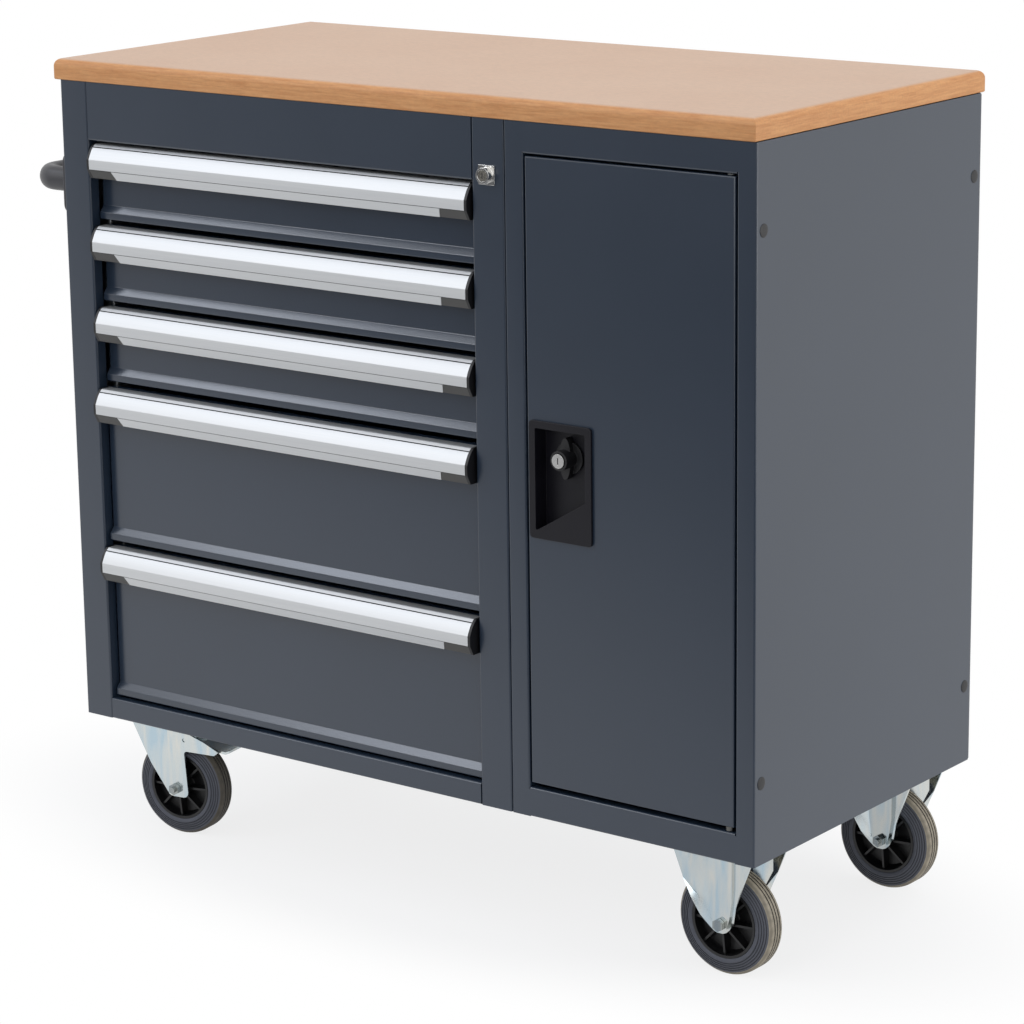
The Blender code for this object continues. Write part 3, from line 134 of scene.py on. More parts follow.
def powder_coat(name, dark, light, roughness):
    """Baked polyester powder: faint clouds in the colour and a fine orange-peel relief."""
    finish, tree, shader, place = new_finish(name)
    cloud = add(tree, "ShaderNodeTexNoise", {"Vector": place, "Scale": 1 / COAT_CLOUD,
                                             "Detail": 3.0})
    speck = add(tree, "ShaderNodeTexNoise", {"Vector": place, "Scale": 1 / COAT_SPECK,
                                             "Detail": 1.0})
    tone = add(tree, "ShaderNodeMath", {0: cloud.outputs["Fac"], 1: speck.outputs["Fac"]},
               operation="ADD")
    half = add(tree, "ShaderNodeMath", {0: tone.outputs[0], 1: 0.5}, operation="MULTIPLY")
    colour = add(tree, "ShaderNodeMix", {0: half.outputs[0], 6: linear(dark), 7: linear(light)},
                 data_type="RGBA")
    peel = add(tree, "ShaderNodeTexNoise", {"Vector": place, "Scale": 1 / COAT_PEEL, "Detail": 2.0})
    relief = add(tree, "ShaderNodeBump", {"Height": peel.outputs["Fac"],
                                          "Strength": COAT_PEEL_RELIEF, "Distance": COAT_PEEL / 4})
    gloss = add(tree, "ShaderNodeMapRange", {"Value": cloud.outputs["Fac"],
                                             3: roughness - COAT_GLOSS_SPREAD,
                                             4: roughness + COAT_GLOSS_SPREAD})
    shader.inputs["Specular IOR Level"].default_value = COAT_SPECULAR
    join(tree, shader, Base_Color=colour.outputs[2], Normal=relief.outputs[0],
         Roughness=gloss.outputs[0])
    return finish


def seat(name, bm, finishes, body, replaced=(), ease=0.0, segments=2, crease=CREASE_ANGLE,
         turn=None):
    """Makes a piece from a mesh: smooth curves, eased edges, its body and its node."""
    data = bpy.data.meshes.new(name)
    bm.to_mesh(data)
    bm.free()
    for finish in finishes:
        data.materials.append(finish)
    piece = bpy.data.objects.new(name, data)
    if turn is not None:
        piece.matrix_world = turn
    bpy.context.scene.collection.objects.link(piece)
    data.shade_smooth()
    if ease:
        soften = piece.modifiers.new("eased_edges", "BEVEL")
        soften.width = ease
        soften.segments = segments
        soften.limit_method = "ANGLE"
        soften.angle_limit = crease
        soften.harden_normals = False
    else:
        data.set_sharp_from_angle(angle=crease)
    flatten = piece.modifiers.new("flat_faces_stay_flat", "WEIGHTED_NORMAL")
    flatten.keep_sharp = True
    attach(piece, body)
    if replaced:
        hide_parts(*replaced)
    return piece


def dress(node, suffix, finish, ease=0.0, segments=2, crease=CREASE_ANGLE, fold=0.0,
          cut_top=False):
    """A copy of a CAD solid with its flat faces rejoined, its curves smooth and its edges eased.
    A fold rounds the outer edges of its front face. A cut top is square in front, not folded."""
    bm = bmesh.new()
    bm.from_mesh(NODES[node].data)
    bmesh.ops.remove_doubles(bm, verts=bm.verts, dist=WELD_DISTANCE)
    if cut_top:
        low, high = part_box(node)
        for vert in bm.verts:
            back = low.y + FOLD_RADIUS - vert.co.y
            up = vert.co.z - high.z + FOLD_RADIUS
            outer = math.hypot(back, up) > FOLD_RADIUS * FOLD_OUTER_SHARE
            if outer and min(back, up) > -WELD_DISTANCE:
                vert.co.y = low.y
    bmesh.ops.dissolve_limit(bm, angle_limit=FLAT_ANGLE, verts=bm.verts, edges=bm.edges)
    if fold:
        low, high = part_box(node)
        rim = []
        for edge in bm.edges:
            first, second = (vert.co for vert in edge.verts)
            outer = any(abs(first[axis] - bound[axis]) + abs(second[axis] - bound[axis])
                        < WELD_DISTANCE for axis in (0, 2) for bound in (low, high))
            if outer and max(first.y, second.y) < low.y + WELD_DISTANCE:
                rim.append(edge)
        bmesh.ops.bevel(bm, geom=rim, offset=fold, segments=FOLD_STEPS, profile=0.5,
                        affect="EDGES")
    return seat("%s_%s" % (node, suffix), bm, [finish], body_of(NODES[node])[0], [node],
                ease, segments, crease)


PANEL_COAT = powder_coat("baked_powder_coat_anthracite", COAT_DARK, COAT_LIGHT, COAT_ROUGHNESS)
for panel in ("drawer_cabinet_left_side", "drawer_cabinet_right_side", "door_cabinet_left_side",
              "door_cabinet_right_side", "drawer_cabinet_header", "door_cabinet_header",
              "drawer_cabinet_floor", "door_cabinet_floor", "back_panel", "cupboard_shelf"):
    dress(panel, "coated", PANEL_COAT, cut_top=panel.endswith("_header"))


# Door frame welds: the strip above the door and the rail below it are welded to the stiles. The
# welds are ground flush and coated over, so that the frame shows no seams.
WELD_DEPTH = 0.0012


def coated_strip(name, low, high):
    """A strip of the cabinet's coated sheet, between its lowest and its highest corner."""
    bm = bmesh.new()
    bmesh.ops.create_cube(bm, size=1.0)
    for vert in bm.verts:
        for axis in range(3):
            vert.co[axis] = low[axis] if vert.co[axis] < 0 else high[axis]
    seat(name, bm, [PANEL_COAT], "cabinet")


left_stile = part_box("door_cabinet_left_side")[1].x - FOLD_RADIUS
right_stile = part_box("door_cabinet_right_side")[0].x + FOLD_RADIUS
strip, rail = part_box("door_cabinet_header"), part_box("door_cabinet_floor")
for name, bottom, top in (("header", strip[0].z + FOLD_RADIUS, strip[1].z),
                          ("rail", rail[0].z, rail[1].z - FOLD_RADIUS)):
    for side, start, end in (("left", left_stile, strip[0].x), ("right", strip[1].x, right_stile)):
        coated_strip("door_%s_%s_weld" % (name, side), (start, strip[0].y, bottom),
                     (end, strip[0].y + WELD_DEPTH, top))


# Rear lips: a strip of the same coated sheet behind each cabinet floor closes the slot to the
# back sheet. It shows only when the door or a drawer is open.
LIP_CLEARANCE = 0.00015
LIP_HEIGHT = 0.010
REAR_FLANGE = 0.0207
for cabinet in ("drawer", "door"):
    base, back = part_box(cabinet + "_cabinet_floor"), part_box("back_panel")
    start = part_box(cabinet + "_cabinet_left_side")[0].x + REAR_FLANGE
    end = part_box(cabinet + "_cabinet_right_side")[1].x - REAR_FLANGE
    coated_strip(cabinet + "_rear_lip", (start, base[1].y + LIP_CLEARANCE, back[0].z),
                 (end, back[0].y - LIP_CLEARANCE, back[0].z + LIP_HEIGHT))


# Side plugs: black polyamide caps pressed into the fixing holes, moulded with a low crown.
# They have the soft dull shine of moulded plastic.
PLUG_STEPS = 32
PLUG_STEM_RADIUS = 0.005
PLUG_STEM_LENGTH = 0.006
PLUG_STANDOFF = 0.0003
# Half of the crown's section: shares of its radius and of its height
PLUG_CROWN = ((0.0, 1.0), (0.45, 0.97), (0.78, 0.80), (0.94, 0.55))
# The mould's real grain is about a third of this, and is drawn coarse enough to show
PLASTIC_GRAIN = 0.0011
PLASTIC_GRAIN_RELIEF = 0.16
PLASTIC_GLOSS_SPREAD = 0.05
PLASTIC_CLOUD = 0.040


def moulded_plastic(name, dark, light, roughness, grain):
    """Injection-moulded plastic: a fine spark-eroded grain on a near-uniform colour."""
    finish, tree, shader, place = new_finish(name)
    pits = add(tree, "ShaderNodeTexNoise", {"Vector": place, "Scale": 1 / grain, "Detail": 2.0})
    wide = add(tree, "ShaderNodeTexNoise", {"Vector": place, "Scale": 1 / PLASTIC_CLOUD,
                                            "Detail": 2.0})
    colour = add(tree, "ShaderNodeMix", {0: wide.outputs["Fac"], 6: linear(dark), 7: linear(light)},
                 data_type="RGBA")
    relief = add(tree, "ShaderNodeBump", {"Height": pits.outputs["Fac"],
                                          "Strength": PLASTIC_GRAIN_RELIEF, "Distance": grain / 4})
    gloss = add(tree, "ShaderNodeMapRange", {"Value": pits.outputs["Fac"],
                                             3: roughness - PLASTIC_GLOSS_SPREAD,
                                             4: roughness + PLASTIC_GLOSS_SPREAD})
    join(tree, shader, Base_Color=colour.outputs[2], Normal=relief.outputs[0],
         Roughness=gloss.outputs[0])
    return finish


def bridge(bm, ring, following):
    """Joins two closed rings with a band of faces. A ring may be one point, repeated."""
    count = len(ring)
    for k in range(count):
        beside = (k + 1) % count
        corners = dict.fromkeys((ring[k], ring[beside], following[beside], following[k]))
        if len(corners) > 2:
            bm.faces.new(list(corners))


def lathe(profile, steps):
    """A mesh turned round y. The profile holds radius and reach along y, and it closes on itself
    unless it starts on the axis."""
    bm = bmesh.new()
    rings = []
    for radius, reach in profile:
        if radius == 0:
            rings.append([bm.verts.new((0.0, reach, 0.0))] * steps)
            continue
        rings.append([bm.verts.new((radius * math.sin(math.tau * k / steps), reach,
                                    radius * math.cos(math.tau * k / steps)))
                      for k in range(steps)])
    for upper, lower in zip(rings, rings[1:]):
        bridge(bm, upper, lower)
    if profile[0][0] > 0:
        bridge(bm, rings[-1], rings[0])
    bmesh.ops.recalc_face_normals(bm, faces=bm.faces)
    return bm


BLACK_PLASTIC = moulded_plastic("moulded_black_polyamide", "0d0d10", "141417", 0.46,
                                PLASTIC_GRAIN)
for index in range(1, 5):
    node = "side_plug_%d" % index
    low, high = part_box(node)
    radius = (high.z - low.z) / 2
    wall = low.x + PLUG_STEM_LENGTH
    profile = [(radius * share, (high.x - wall) * rise) for share, rise in PLUG_CROWN]
    profile += [(radius, PLUG_STANDOFF), (PLUG_STEM_RADIUS, PLUG_STANDOFF),
                (PLUG_STEM_RADIUS, -PLUG_STEM_LENGTH), (0.0, -PLUG_STEM_LENGTH)]
    plug = lathe(profile, PLUG_STEPS)
    plug.transform(Matrix.Rotation(-math.pi / 2, 4, "Z"))
    seat(node + "_moulded", plug, [BLACK_PLASTIC], "cabinet", [node],
         turn=Matrix.Translation((wall, (low.y + high.y) / 2, (low.z + high.z) / 2)))


# Runner walls: galvanised sheet, hidden behind the drawer fronts and seen when a drawer is out.
# Hot-dip zinc leaves the pale spangle of its crystals.
ZINC_SPANGLE = 0.009
SPANGLE_BRIGHT = 0.36
SPANGLE_DULL = 0.52


def galvanised(name, dark, light):
    """Hot-dip zinc: flat crystals, each with its own tone and dullness."""
    finish, tree, shader, place = new_finish(name, Metallic=1.0)
    cells = add(tree, "ShaderNodeTexVoronoi", {"Vector": place, "Scale": 1 / ZINC_SPANGLE})
    tone = add(tree, "ShaderNodeSeparateColor", {0: cells.outputs["Color"]})
    colour = add(tree, "ShaderNodeMix", {0: tone.outputs[0], 6: linear(dark), 7: linear(light)},
                 data_type="RGBA")
    gloss = add(tree, "ShaderNodeMapRange", {"Value": tone.outputs[1], 3: SPANGLE_BRIGHT,
                                             4: SPANGLE_DULL})
    join(tree, shader, Base_Color=colour.outputs[2], Roughness=gloss.outputs[0])
    return finish


GALVANISED = galvanised("galvanised_steel_sheet", "8d9294", "b4b8b9")
for wall in ("runner_wall_left", "runner_wall_right"):
    dress(wall, "galvanised", GALVANISED)


# Drawers: a folded steel tray behind a front sheet with a bevel and a band along its foot.
# They have the same powder coat as the body, a little smoother, so that thin light runs along
# each fold.
FRONT_EASE = 0.0005
FRONT_CREASE = math.radians(30)
FRONT_ROUGHNESS = 0.22
DRAWER_COAT = powder_coat("baked_powder_coat_drawer", COAT_DARK, "2b3747", FRONT_ROUGHNESS)
for node in sorted(NODES):
    if node.startswith("drawer_") and node.endswith(("_tray", "_front")):
        dress(node, "coated", DRAWER_COAT, ease=FRONT_EASE, crease=FRONT_CREASE)


# Grip strips: extruded aluminium, anodised satin. A flange runs along the top, then a bowed
# face, a nose and a lip that fingers pull. Two fine shallow grooves set the face off from the
# flange and the lip, their floors painted dark as painted shade. The extruder's die leaves fine
# lines along the length.
GRIP_THICKNESS = 0.0020
GRIP_DROP = 0.0410
GRIP_CUT = 0.035
GRIP_CUT_SLANT = 0.004
GRIP_CREASE = math.radians(24)
GROOVE_DEPTH = 0.0003
# The real lines are finer, and are drawn coarse enough to show
DIE_LINE = 0.0007
DIE_LINE_STRETCH = 0.004
DIE_LINE_RELIEF = 0.10
SATIN_BRIGHT = 0.48
SATIN_DULL = 0.58
# Outer face of the strip: distance forward of the back wall, and drop from the top
GRIP_FLANGE = ((0.0, 0.0), (0.0128, 0.0), (0.0138, 0.0002), (0.0144, 0.0006), (0.0156, 0.0017),
               (0.0168, 0.0028), (0.0172, 0.0032))
GRIP_FACE = ((0.0182, 0.0042), (0.0193, 0.0055), (0.0210, 0.0078), (0.0225, 0.0104),
             (0.0239, 0.0130), (0.0251, 0.0156), (0.0258, 0.0172), (0.0261, 0.0177),
             (0.0262, 0.0184), (0.0262, 0.0250), (0.0260, 0.0297))
GRIP_LIP = ((0.0256, 0.0304), (0.0253, 0.0311), (0.0202, 0.0404), (0.0199, GRIP_DROP))


def satin_aluminium(name, dark, light):
    """Anodised aluminium: die lines along x and a dull even sheen."""
    finish, tree, shader, place = new_finish(name, Metallic=1.0)
    along = add(tree, "ShaderNodeMapping", {"Vector": place,
                                            "Scale": (DIE_LINE_STRETCH, 1.0, 1.0)})
    lines = add(tree, "ShaderNodeTexNoise", {"Vector": along.outputs[0], "Scale": 1 / DIE_LINE,
                                             "Detail": 2.0})
    colour = add(tree, "ShaderNodeMix", {0: lines.outputs["Fac"], 6: linear(dark),
                                         7: linear(light)}, data_type="RGBA")
    relief = add(tree, "ShaderNodeBump", {"Height": lines.outputs["Fac"],
                                          "Strength": DIE_LINE_RELIEF, "Distance": DIE_LINE / 8})
    gloss = add(tree, "ShaderNodeMapRange", {"Value": lines.outputs["Fac"], 3: SATIN_BRIGHT,
                                             4: SATIN_DULL})
    join(tree, shader, Base_Color=colour.outputs[2], Normal=relief.outputs[0],
         Roughness=gloss.outputs[0])
    return finish


def inward(path, thickness):
    """The path moved back into the metal by its thickness."""
    moved = []
    for index, point in enumerate(path):
        before = path[max(index - 1, 0)]
        after = path[min(index + 1, len(path) - 1)]
        run = (Vector(after) - Vector(before)).normalized()
        moved.append((point[0] - run.y * thickness, point[1] + run.x * thickness))
    return moved


def extrude(bm, outline, spans, back, top):
    """Adds a bar along x. Each outline point holds forward reach and drop, and its two ends."""
    ends = []
    for side in (0, 1):
        ends.append([bm.verts.new((spans[k][side], back - reach, top - drop))
                     for k, (reach, drop) in enumerate(outline)])
    bm.faces.new(ends[0])
    bm.faces.new(ends[1][::-1])
    bridge(bm, ends[1], ends[0])


ANODISED = satin_aluminium("satin_anodised_aluminium", "c6c9cc", "d6d7d8")
GROOVE_PAINTED_SHADE = satin_aluminium("aluminium_groove_painted_shade", "0e1013", "16181c")
for index in range(1, 6):
    low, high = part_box("drawer_%d_grip" % index)
    length = (low.x, high.x)
    bm = bmesh.new()
    for line in (GRIP_FLANGE, GRIP_FACE):
        bar = list(line) + inward(line, GRIP_THICKNESS)[::-1]
        extrude(bm, bar, [length] * len(bar), high.y, high.z)
    back_wall = [(0.0, GRIP_THICKNESS), (GRIP_THICKNESS, GRIP_THICKNESS),
                 (GRIP_THICKNESS, GRIP_DROP), (0.0, GRIP_DROP)]
    extrude(bm, back_wall, [length] * 4, high.y, high.z)
    lip = list(GRIP_LIP) + inward(GRIP_LIP, GRIP_THICKNESS)[::-1]
    lip_drop = GRIP_LIP[-1][1] - GRIP_LIP[0][1]
    spans = []
    for reach, drop in lip:
        short = GRIP_CUT + GRIP_CUT_SLANT * (drop - GRIP_LIP[0][1]) / lip_drop
        spans.append((low.x + short, high.x - short))
    extrude(bm, lip, spans, high.y, high.z)
    metal = len(bm.faces)
    for over, under in ((GRIP_FLANGE, GRIP_FACE), (GRIP_FACE, GRIP_LIP)):
        floor = [over[-1], under[0]]
        floor = inward(floor, GROOVE_DEPTH) + inward(floor, GRIP_THICKNESS)[::-1]
        extrude(bm, floor, [length] * 4, high.y, high.z)
    bmesh.ops.recalc_face_normals(bm, faces=bm.faces)
    bm.faces.ensure_lookup_table()
    # The groove floors carry the painted shade.
    for side in bm.faces[metal:]:
        side.material_index = 1
    seat("drawer_%d_grip_extrusion" % index, bm, [ANODISED, GROOVE_PAINTED_SHADE],
         "drawer_%d" % index, ["drawer_%d_grip" % index], crease=GRIP_CREASE)


# Grip end caps: black polyamide, pushed onto both ends of each strip. Each has a foot that fills
# the cut in the strip's lip, with a coarser grain there, and painted lighter grey as a painted
# sheen.
CAP_THICKNESS = 0.0035
CAP_RECESS = 0.0004
CAP_SHELL = (*GRIP_FLANGE, *GRIP_FACE, *GRIP_LIP, (0.0, GRIP_DROP))
CAP_FOOT = ((0.0253, 0.0304), (0.0252, 0.0311), (0.0197, 0.0408), (0.0179, 0.0398),
            (0.0230, 0.0304))
CAP_FOOT_TOP = 0.0302
CAP_FOOT_HEIGHT = 0.0108
CAP_FOOT_GRAIN = 0.0014
FOOT_PAINTED_SHEEN = moulded_plastic("moulded_black_polyamide_painted_sheen", "4b4a48", "585754", 0.62,
                               CAP_FOOT_GRAIN)
for index in range(1, 6):
    low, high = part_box("drawer_%d_grip" % index)
    for tag, outer, inner in (("left", low.x - CAP_THICKNESS, low.x),
                              ("right", high.x + CAP_THICKNESS, high.x)):
        bm = bmesh.new()
        span = tuple(sorted((outer, inner)))
        extrude(bm, CAP_SHELL, [span] * len(CAP_SHELL), high.y, high.z)
        ends = []
        for reach, drop in CAP_FOOT:
            slant = GRIP_CUT_SLANT * (drop - CAP_FOOT_TOP) / CAP_FOOT_HEIGHT
            short = GRIP_CUT - CAP_RECESS + slant
            far = inner + short if tag == "left" else inner - short
            ends.append(tuple(sorted((inner, far))))
        flat = len(bm.faces)
        extrude(bm, CAP_FOOT, ends, high.y, high.z)
        bmesh.ops.recalc_face_normals(bm, faces=bm.faces)
        bm.faces.ensure_lookup_table()
        for face in bm.faces[flat:]:
            face.material_index = 1
        seat("drawer_%d_cap_%s" % (index, tag), bm, [BLACK_PLASTIC, FOOT_PAINTED_SHEEN],
             "drawer_%d" % index, crease=GRIP_CREASE)


# Drawer lock: die-cast zinc, nickel and chrome plated. A square foot carries a round collar and
# the key plug, with a steel cam behind. Plating gives clear bright reflections.
LOCK_EASE = 0.0004
LOCK_SLOT_HEIGHT = 0.0058
# A black plate in each key slot is painted shade.
KEYWAY_SHADE_WIDTH = 0.0011
KEYWAY_SHADE_DEPTH = 0.0002
KEYWAY_SHADE_THICKNESS = 0.0006
HANDLING_BRIGHT = 0.7
HANDLING_DULL = 1.4


def plated(name, dark, light, roughness, cloud):
    """Plated metal: a nearly even colour, with faint tarnish where it has been handled."""
    finish, tree, shader, place = new_finish(name, Metallic=1.0)
    haze = add(tree, "ShaderNodeTexNoise", {"Vector": place, "Scale": 1 / cloud, "Detail": 4.0})
    colour = add(tree, "ShaderNodeMix", {0: haze.outputs["Fac"], 6: linear(dark), 7: linear(light)},
                 data_type="RGBA")
    gloss = add(tree, "ShaderNodeMapRange", {"Value": haze.outputs["Fac"],
                                             3: roughness * HANDLING_BRIGHT,
                                             4: roughness * HANDLING_DULL})
    join(tree, shader, Base_Color=colour.outputs[2], Roughness=gloss.outputs[0])
    return finish


def keyway_painted_shade(plug, height):
    """A black plate just inside a plug's key slot, painted shade that darkens the slot."""
    low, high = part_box(plug)
    middle = (low + high) / 2
    bm = bmesh.new()
    bmesh.ops.create_cube(bm, size=1.0)
    for vert in bm.verts:
        vert.co = Vector((middle.x + vert.co.x * KEYWAY_SHADE_WIDTH,
                          low.y + KEYWAY_SHADE_DEPTH + (vert.co.y + 0.5) * KEYWAY_SHADE_THICKNESS,
                          middle.z + vert.co.z * height))
    seat(plug + "_keyway_painted_shade", bm, [BLACK_PLASTIC], body_of(NODES[plug])[0])


CHROME = plated("nickel_chrome_plate", "cfcecb", "eeedeb", 0.14, 0.004)
# The drawer's key plug is painted darker than the chrome, a painted reflection of dark
# surroundings.
KEY_PLUG_PAINTED_DARK = plated("nickel_plated_brass_painted_dark_reflection", "7d7a74", "a8a49c", 0.26, 0.002)
dress("drawer_lock_housing", "plated", CHROME, ease=LOCK_EASE)
dress("drawer_lock_plug", "plated", KEY_PLUG_PAINTED_DARK, ease=LOCK_EASE / 2)
keyway_painted_shade("drawer_lock_plug", LOCK_SLOT_HEIGHT)


# Door: one sheet with its four edges folded back, hung on two plated pins. It has the body's
# powder coat, and its folds catch a thin line of light along the top and the right.
DOOR_FOLD = 0.0020
dress("door_leaf", "coated", PANEL_COAT, fold=DOOR_FOLD)


# Door pocket and knob: moulded, the pocket in black ABS and the knob in black polyamide. The
# pocket is sunk in the leaf, and its floor slopes up to the right. The wing knob turns in it and
# holds the key plug.
POCKET_EASE = 0.0007
POCKET_GRAIN = 0.0012
POCKET_SPECULAR = 0.32
KNOB_EASE = 0.0010
DOOR_SLOT_HEIGHT = 0.0040
POCKET_PLASTIC = moulded_plastic("moulded_black_abs", "0b0a11", "13121a", 0.42, POCKET_GRAIN)
pocket_shader = POCKET_PLASTIC.node_tree.nodes["Principled BSDF"]
pocket_shader.inputs["Specular IOR Level"].default_value = POCKET_SPECULAR
dress("door_pocket", "moulded", POCKET_PLASTIC, ease=POCKET_EASE)
dress("door_knob", "moulded", BLACK_PLASTIC, ease=KNOB_EASE, segments=3)
dress("door_key_plug", "plated", CHROME, ease=LOCK_EASE / 2)
keyway_painted_shade("door_key_plug", DOOR_SLOT_HEIGHT)


# Latch cams and hinge pins: mild steel, electroplated with zinc and passivated. Passivation
# tints the bright zinc in soft clouds of blue and straw yellow, drawn out upright where the work
# hung in the bath.
PASSIVATION_CLOUD = 0.014
PASSIVATION_SWIRL = 0.6
TINT_START = 0.32
TINT_END = 0.68
DRAW_STRETCH = 0.16
PLATING_MOTTLE = 0.004
PLATING_RELIEF = 0.02
PLATING_GLOSS_SPREAD = 0.06
ZINC_EASE = 0.0005


def zinc_plate(name, blue, straw, roughness):
    """Passivated zinc: drawn-out clouds of two tints over a fine mottle."""
    finish, tree, shader, place = new_finish(name, Metallic=1.0)
    drawn = add(tree, "ShaderNodeMapping", {"Vector": place, "Scale": (1.0, 1.0, DRAW_STRETCH)})
    cloud = add(tree, "ShaderNodeTexNoise", {"Vector": drawn.outputs[0],
                                             "Scale": 1 / PASSIVATION_CLOUD, "Detail": 4.0,
                                             "Distortion": PASSIVATION_SWIRL})
    fine = add(tree, "ShaderNodeTexNoise", {"Vector": place, "Scale": 1 / PLATING_MOTTLE,
                                            "Detail": 3.0})
    share = add(tree, "ShaderNodeMapRange", {"Value": cloud.outputs["Fac"], 1: TINT_START,
                                             2: TINT_END})
    colour = add(tree, "ShaderNodeMix", {0: share.outputs[0], 6: linear(blue), 7: linear(straw)},
                 data_type="RGBA")
    gloss = add(tree, "ShaderNodeMapRange", {"Value": fine.outputs["Fac"],
                                             3: roughness - PLATING_GLOSS_SPREAD,
                                             4: roughness + PLATING_GLOSS_SPREAD})
    relief = add(tree, "ShaderNodeBump", {"Height": fine.outputs["Fac"],
                                          "Strength": PLATING_RELIEF,
                                          "Distance": PLATING_MOTTLE / 8})
    join(tree, shader, Base_Color=colour.outputs[2], Normal=relief.outputs[0],
         Roughness=gloss.outputs[0])
    return finish


ZINC = zinc_plate("zinc_plated_steel", "b4c7d2", "d4d5d0", 0.17)
BOLT_ZINC = zinc_plate("zinc_plated_bolt_steel", "7f8a92", "a9aba6", 0.26)
DULL_ZINC = zinc_plate("dull_zinc_plated_pin", "5f6468", "77736d", 0.44)
for node in ("drawer_lock_cam", "door_latch_cam"):
    dress(node, "plated", ZINC, ease=ZINC_EASE)
for node in ("hinge_pin_upper", "hinge_pin_lower"):
    dress(node, "plated", DULL_ZINC, ease=ZINC_EASE)


# Push handle: glass-filled polyamide, one oval bow moulded with a flat foot at each end, held by
# screws from inside. The grain is fine and the bow has a satin shine.
PUSH_SIDES = 32
PUSH_BEND_STEPS = 14
PUSH_BEND = 0.026
PUSH_SECTION = 0.026
PUSH_HEIGHT = 0.030
PUSH_INSET = 0.004
PUSH_SUNK = 0.001
PUSH_FOOT = 0.0040
PUSH_FOOT_WIDTH = 0.040
PUSH_FOOT_CORNER = 0.012
PUSH_FOOT_CORNER_STEPS = 8
PUSH_FOOT_ABOVE = 0.0348
PUSH_EASE = 0.0009
PUSH_GRAIN = 0.0013


def rounded_corners(corners, radius, steps):
    """A closed flat outline with each corner turned into an arc."""
    points = []
    count = len(corners)
    for index in range(count):
        here = Vector(corners[index])
        before = (Vector(corners[index - 1]) - here).normalized()
        after = (Vector(corners[(index + 1) % count]) - here).normalized()
        half = before.angle(after) / 2
        centre = here + (before + after).normalized() * radius / math.sin(half)
        start = here + before * radius / math.tan(half) - centre
        stop = here + after * radius / math.tan(half) - centre
        sweep = start.angle_signed(stop)
        for step in range(steps + 1):
            points.append(centre + Matrix.Rotation(-sweep * step / steps, 2) @ start)
    return points


def push_handle():
    """An oval section carried along the bow's route, and the two feet."""
    low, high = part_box("push_handle")
    bar_x = low.x + PUSH_SECTION / 2
    front = low.y + PUSH_INSET + PUSH_SECTION / 2
    back = high.y - PUSH_INSET - PUSH_SECTION / 2
    wall = high.x
    level = high.z - PUSH_FOOT_ABOVE
    route = [(Vector((wall - PUSH_SUNK, front)), Vector((-1.0, 0.0)))]
    for step in range(PUSH_BEND_STEPS + 1):
        angle = math.pi / 2 * step / PUSH_BEND_STEPS
        spot = Vector((bar_x + PUSH_BEND - PUSH_BEND * math.sin(angle),
                       front + PUSH_BEND - PUSH_BEND * math.cos(angle)))
        route.append((spot, Vector((-math.cos(angle), math.sin(angle)))))
    middle = (front + back) / 2
    route += [(Vector((spot.x, 2 * middle - spot.y)), Vector((-run.x, run.y)))
              for spot, run in reversed(route)]
    bm = bmesh.new()
    rings = []
    for spot, run in route:
        side = Vector((run.y, -run.x))
        ring = []
        for k in range(PUSH_SIDES):
            angle = math.tau * k / PUSH_SIDES
            out = spot + side * (PUSH_SECTION / 2 * math.cos(angle))
            ring.append(bm.verts.new((out.x, out.y, level + PUSH_HEIGHT / 2 * math.sin(angle))))
        rings.append(ring)
    for ring, following in zip(rings, rings[1:]):
        bridge(bm, ring, following)
    bm.faces.new(rings[0][::-1])
    bm.faces.new(rings[-1])
    for edge in (low.y, high.y - PUSH_FOOT_WIDTH):
        outline = rounded_corners([(edge, low.z), (edge + PUSH_FOOT_WIDTH, low.z),
                                   (edge + PUSH_FOOT_WIDTH, high.z), (edge, high.z)],
                                  PUSH_FOOT_CORNER, PUSH_FOOT_CORNER_STEPS)
        outer = [bm.verts.new((wall - PUSH_FOOT, point.x, point.y)) for point in outline]
        inner = [bm.verts.new((wall, point.x, point.y)) for point in outline]
        bm.faces.new(outer)
        bm.faces.new(inner[::-1])
        bridge(bm, outer, inner)
    bmesh.ops.recalc_face_normals(bm, faces=bm.faces)
    return bm


HANDLE_PLASTIC = moulded_plastic("moulded_glass_filled_polyamide", "333336", "3e3e42", 0.40,
                                 PUSH_GRAIN)
seat("push_handle_bow", push_handle(), [HANDLE_PLASTIC], "cabinet",
     ["push_handle"], ease=PUSH_EASE)


# Worktop: a 25 mm board of wood fibre pressed in layers, its top and edges milled round and
# oiled. The face is even and pale, and the cut edges show darker layered bands.
BOARD_TOP_ROUND = 0.009
BOARD_ROUND_STEPS = 8
BOARD_CORNER = 0.0015
BOARD_CORNER_STEPS = 3
BOARD_BOTTOM_ROUND = 0.001
BOARD_CREASE = math.radians(60)
BOARD_BAND = 0.0022
BOARD_BAND_STRETCH = 0.06
BOARD_FIBRE = 0.0026
BOARD_FIBRE_STRETCH = 0.35
BOARD_FIBRE_RELIEF = 0.10
BOARD_CLOUD = 0.16
BOARD_BRIGHT = 0.52
BOARD_DULL = 0.64
NOISE_LOW = 0.30
NOISE_HIGH = 0.70
GRAIN_DARK = 0.89
GRAIN_LIGHT = 1.04
# How far up a surface faces where the edge's tone ends, and where the face's tone begins
EDGE_UPRIGHT = 0.80
FACE_UPRIGHT = 0.985


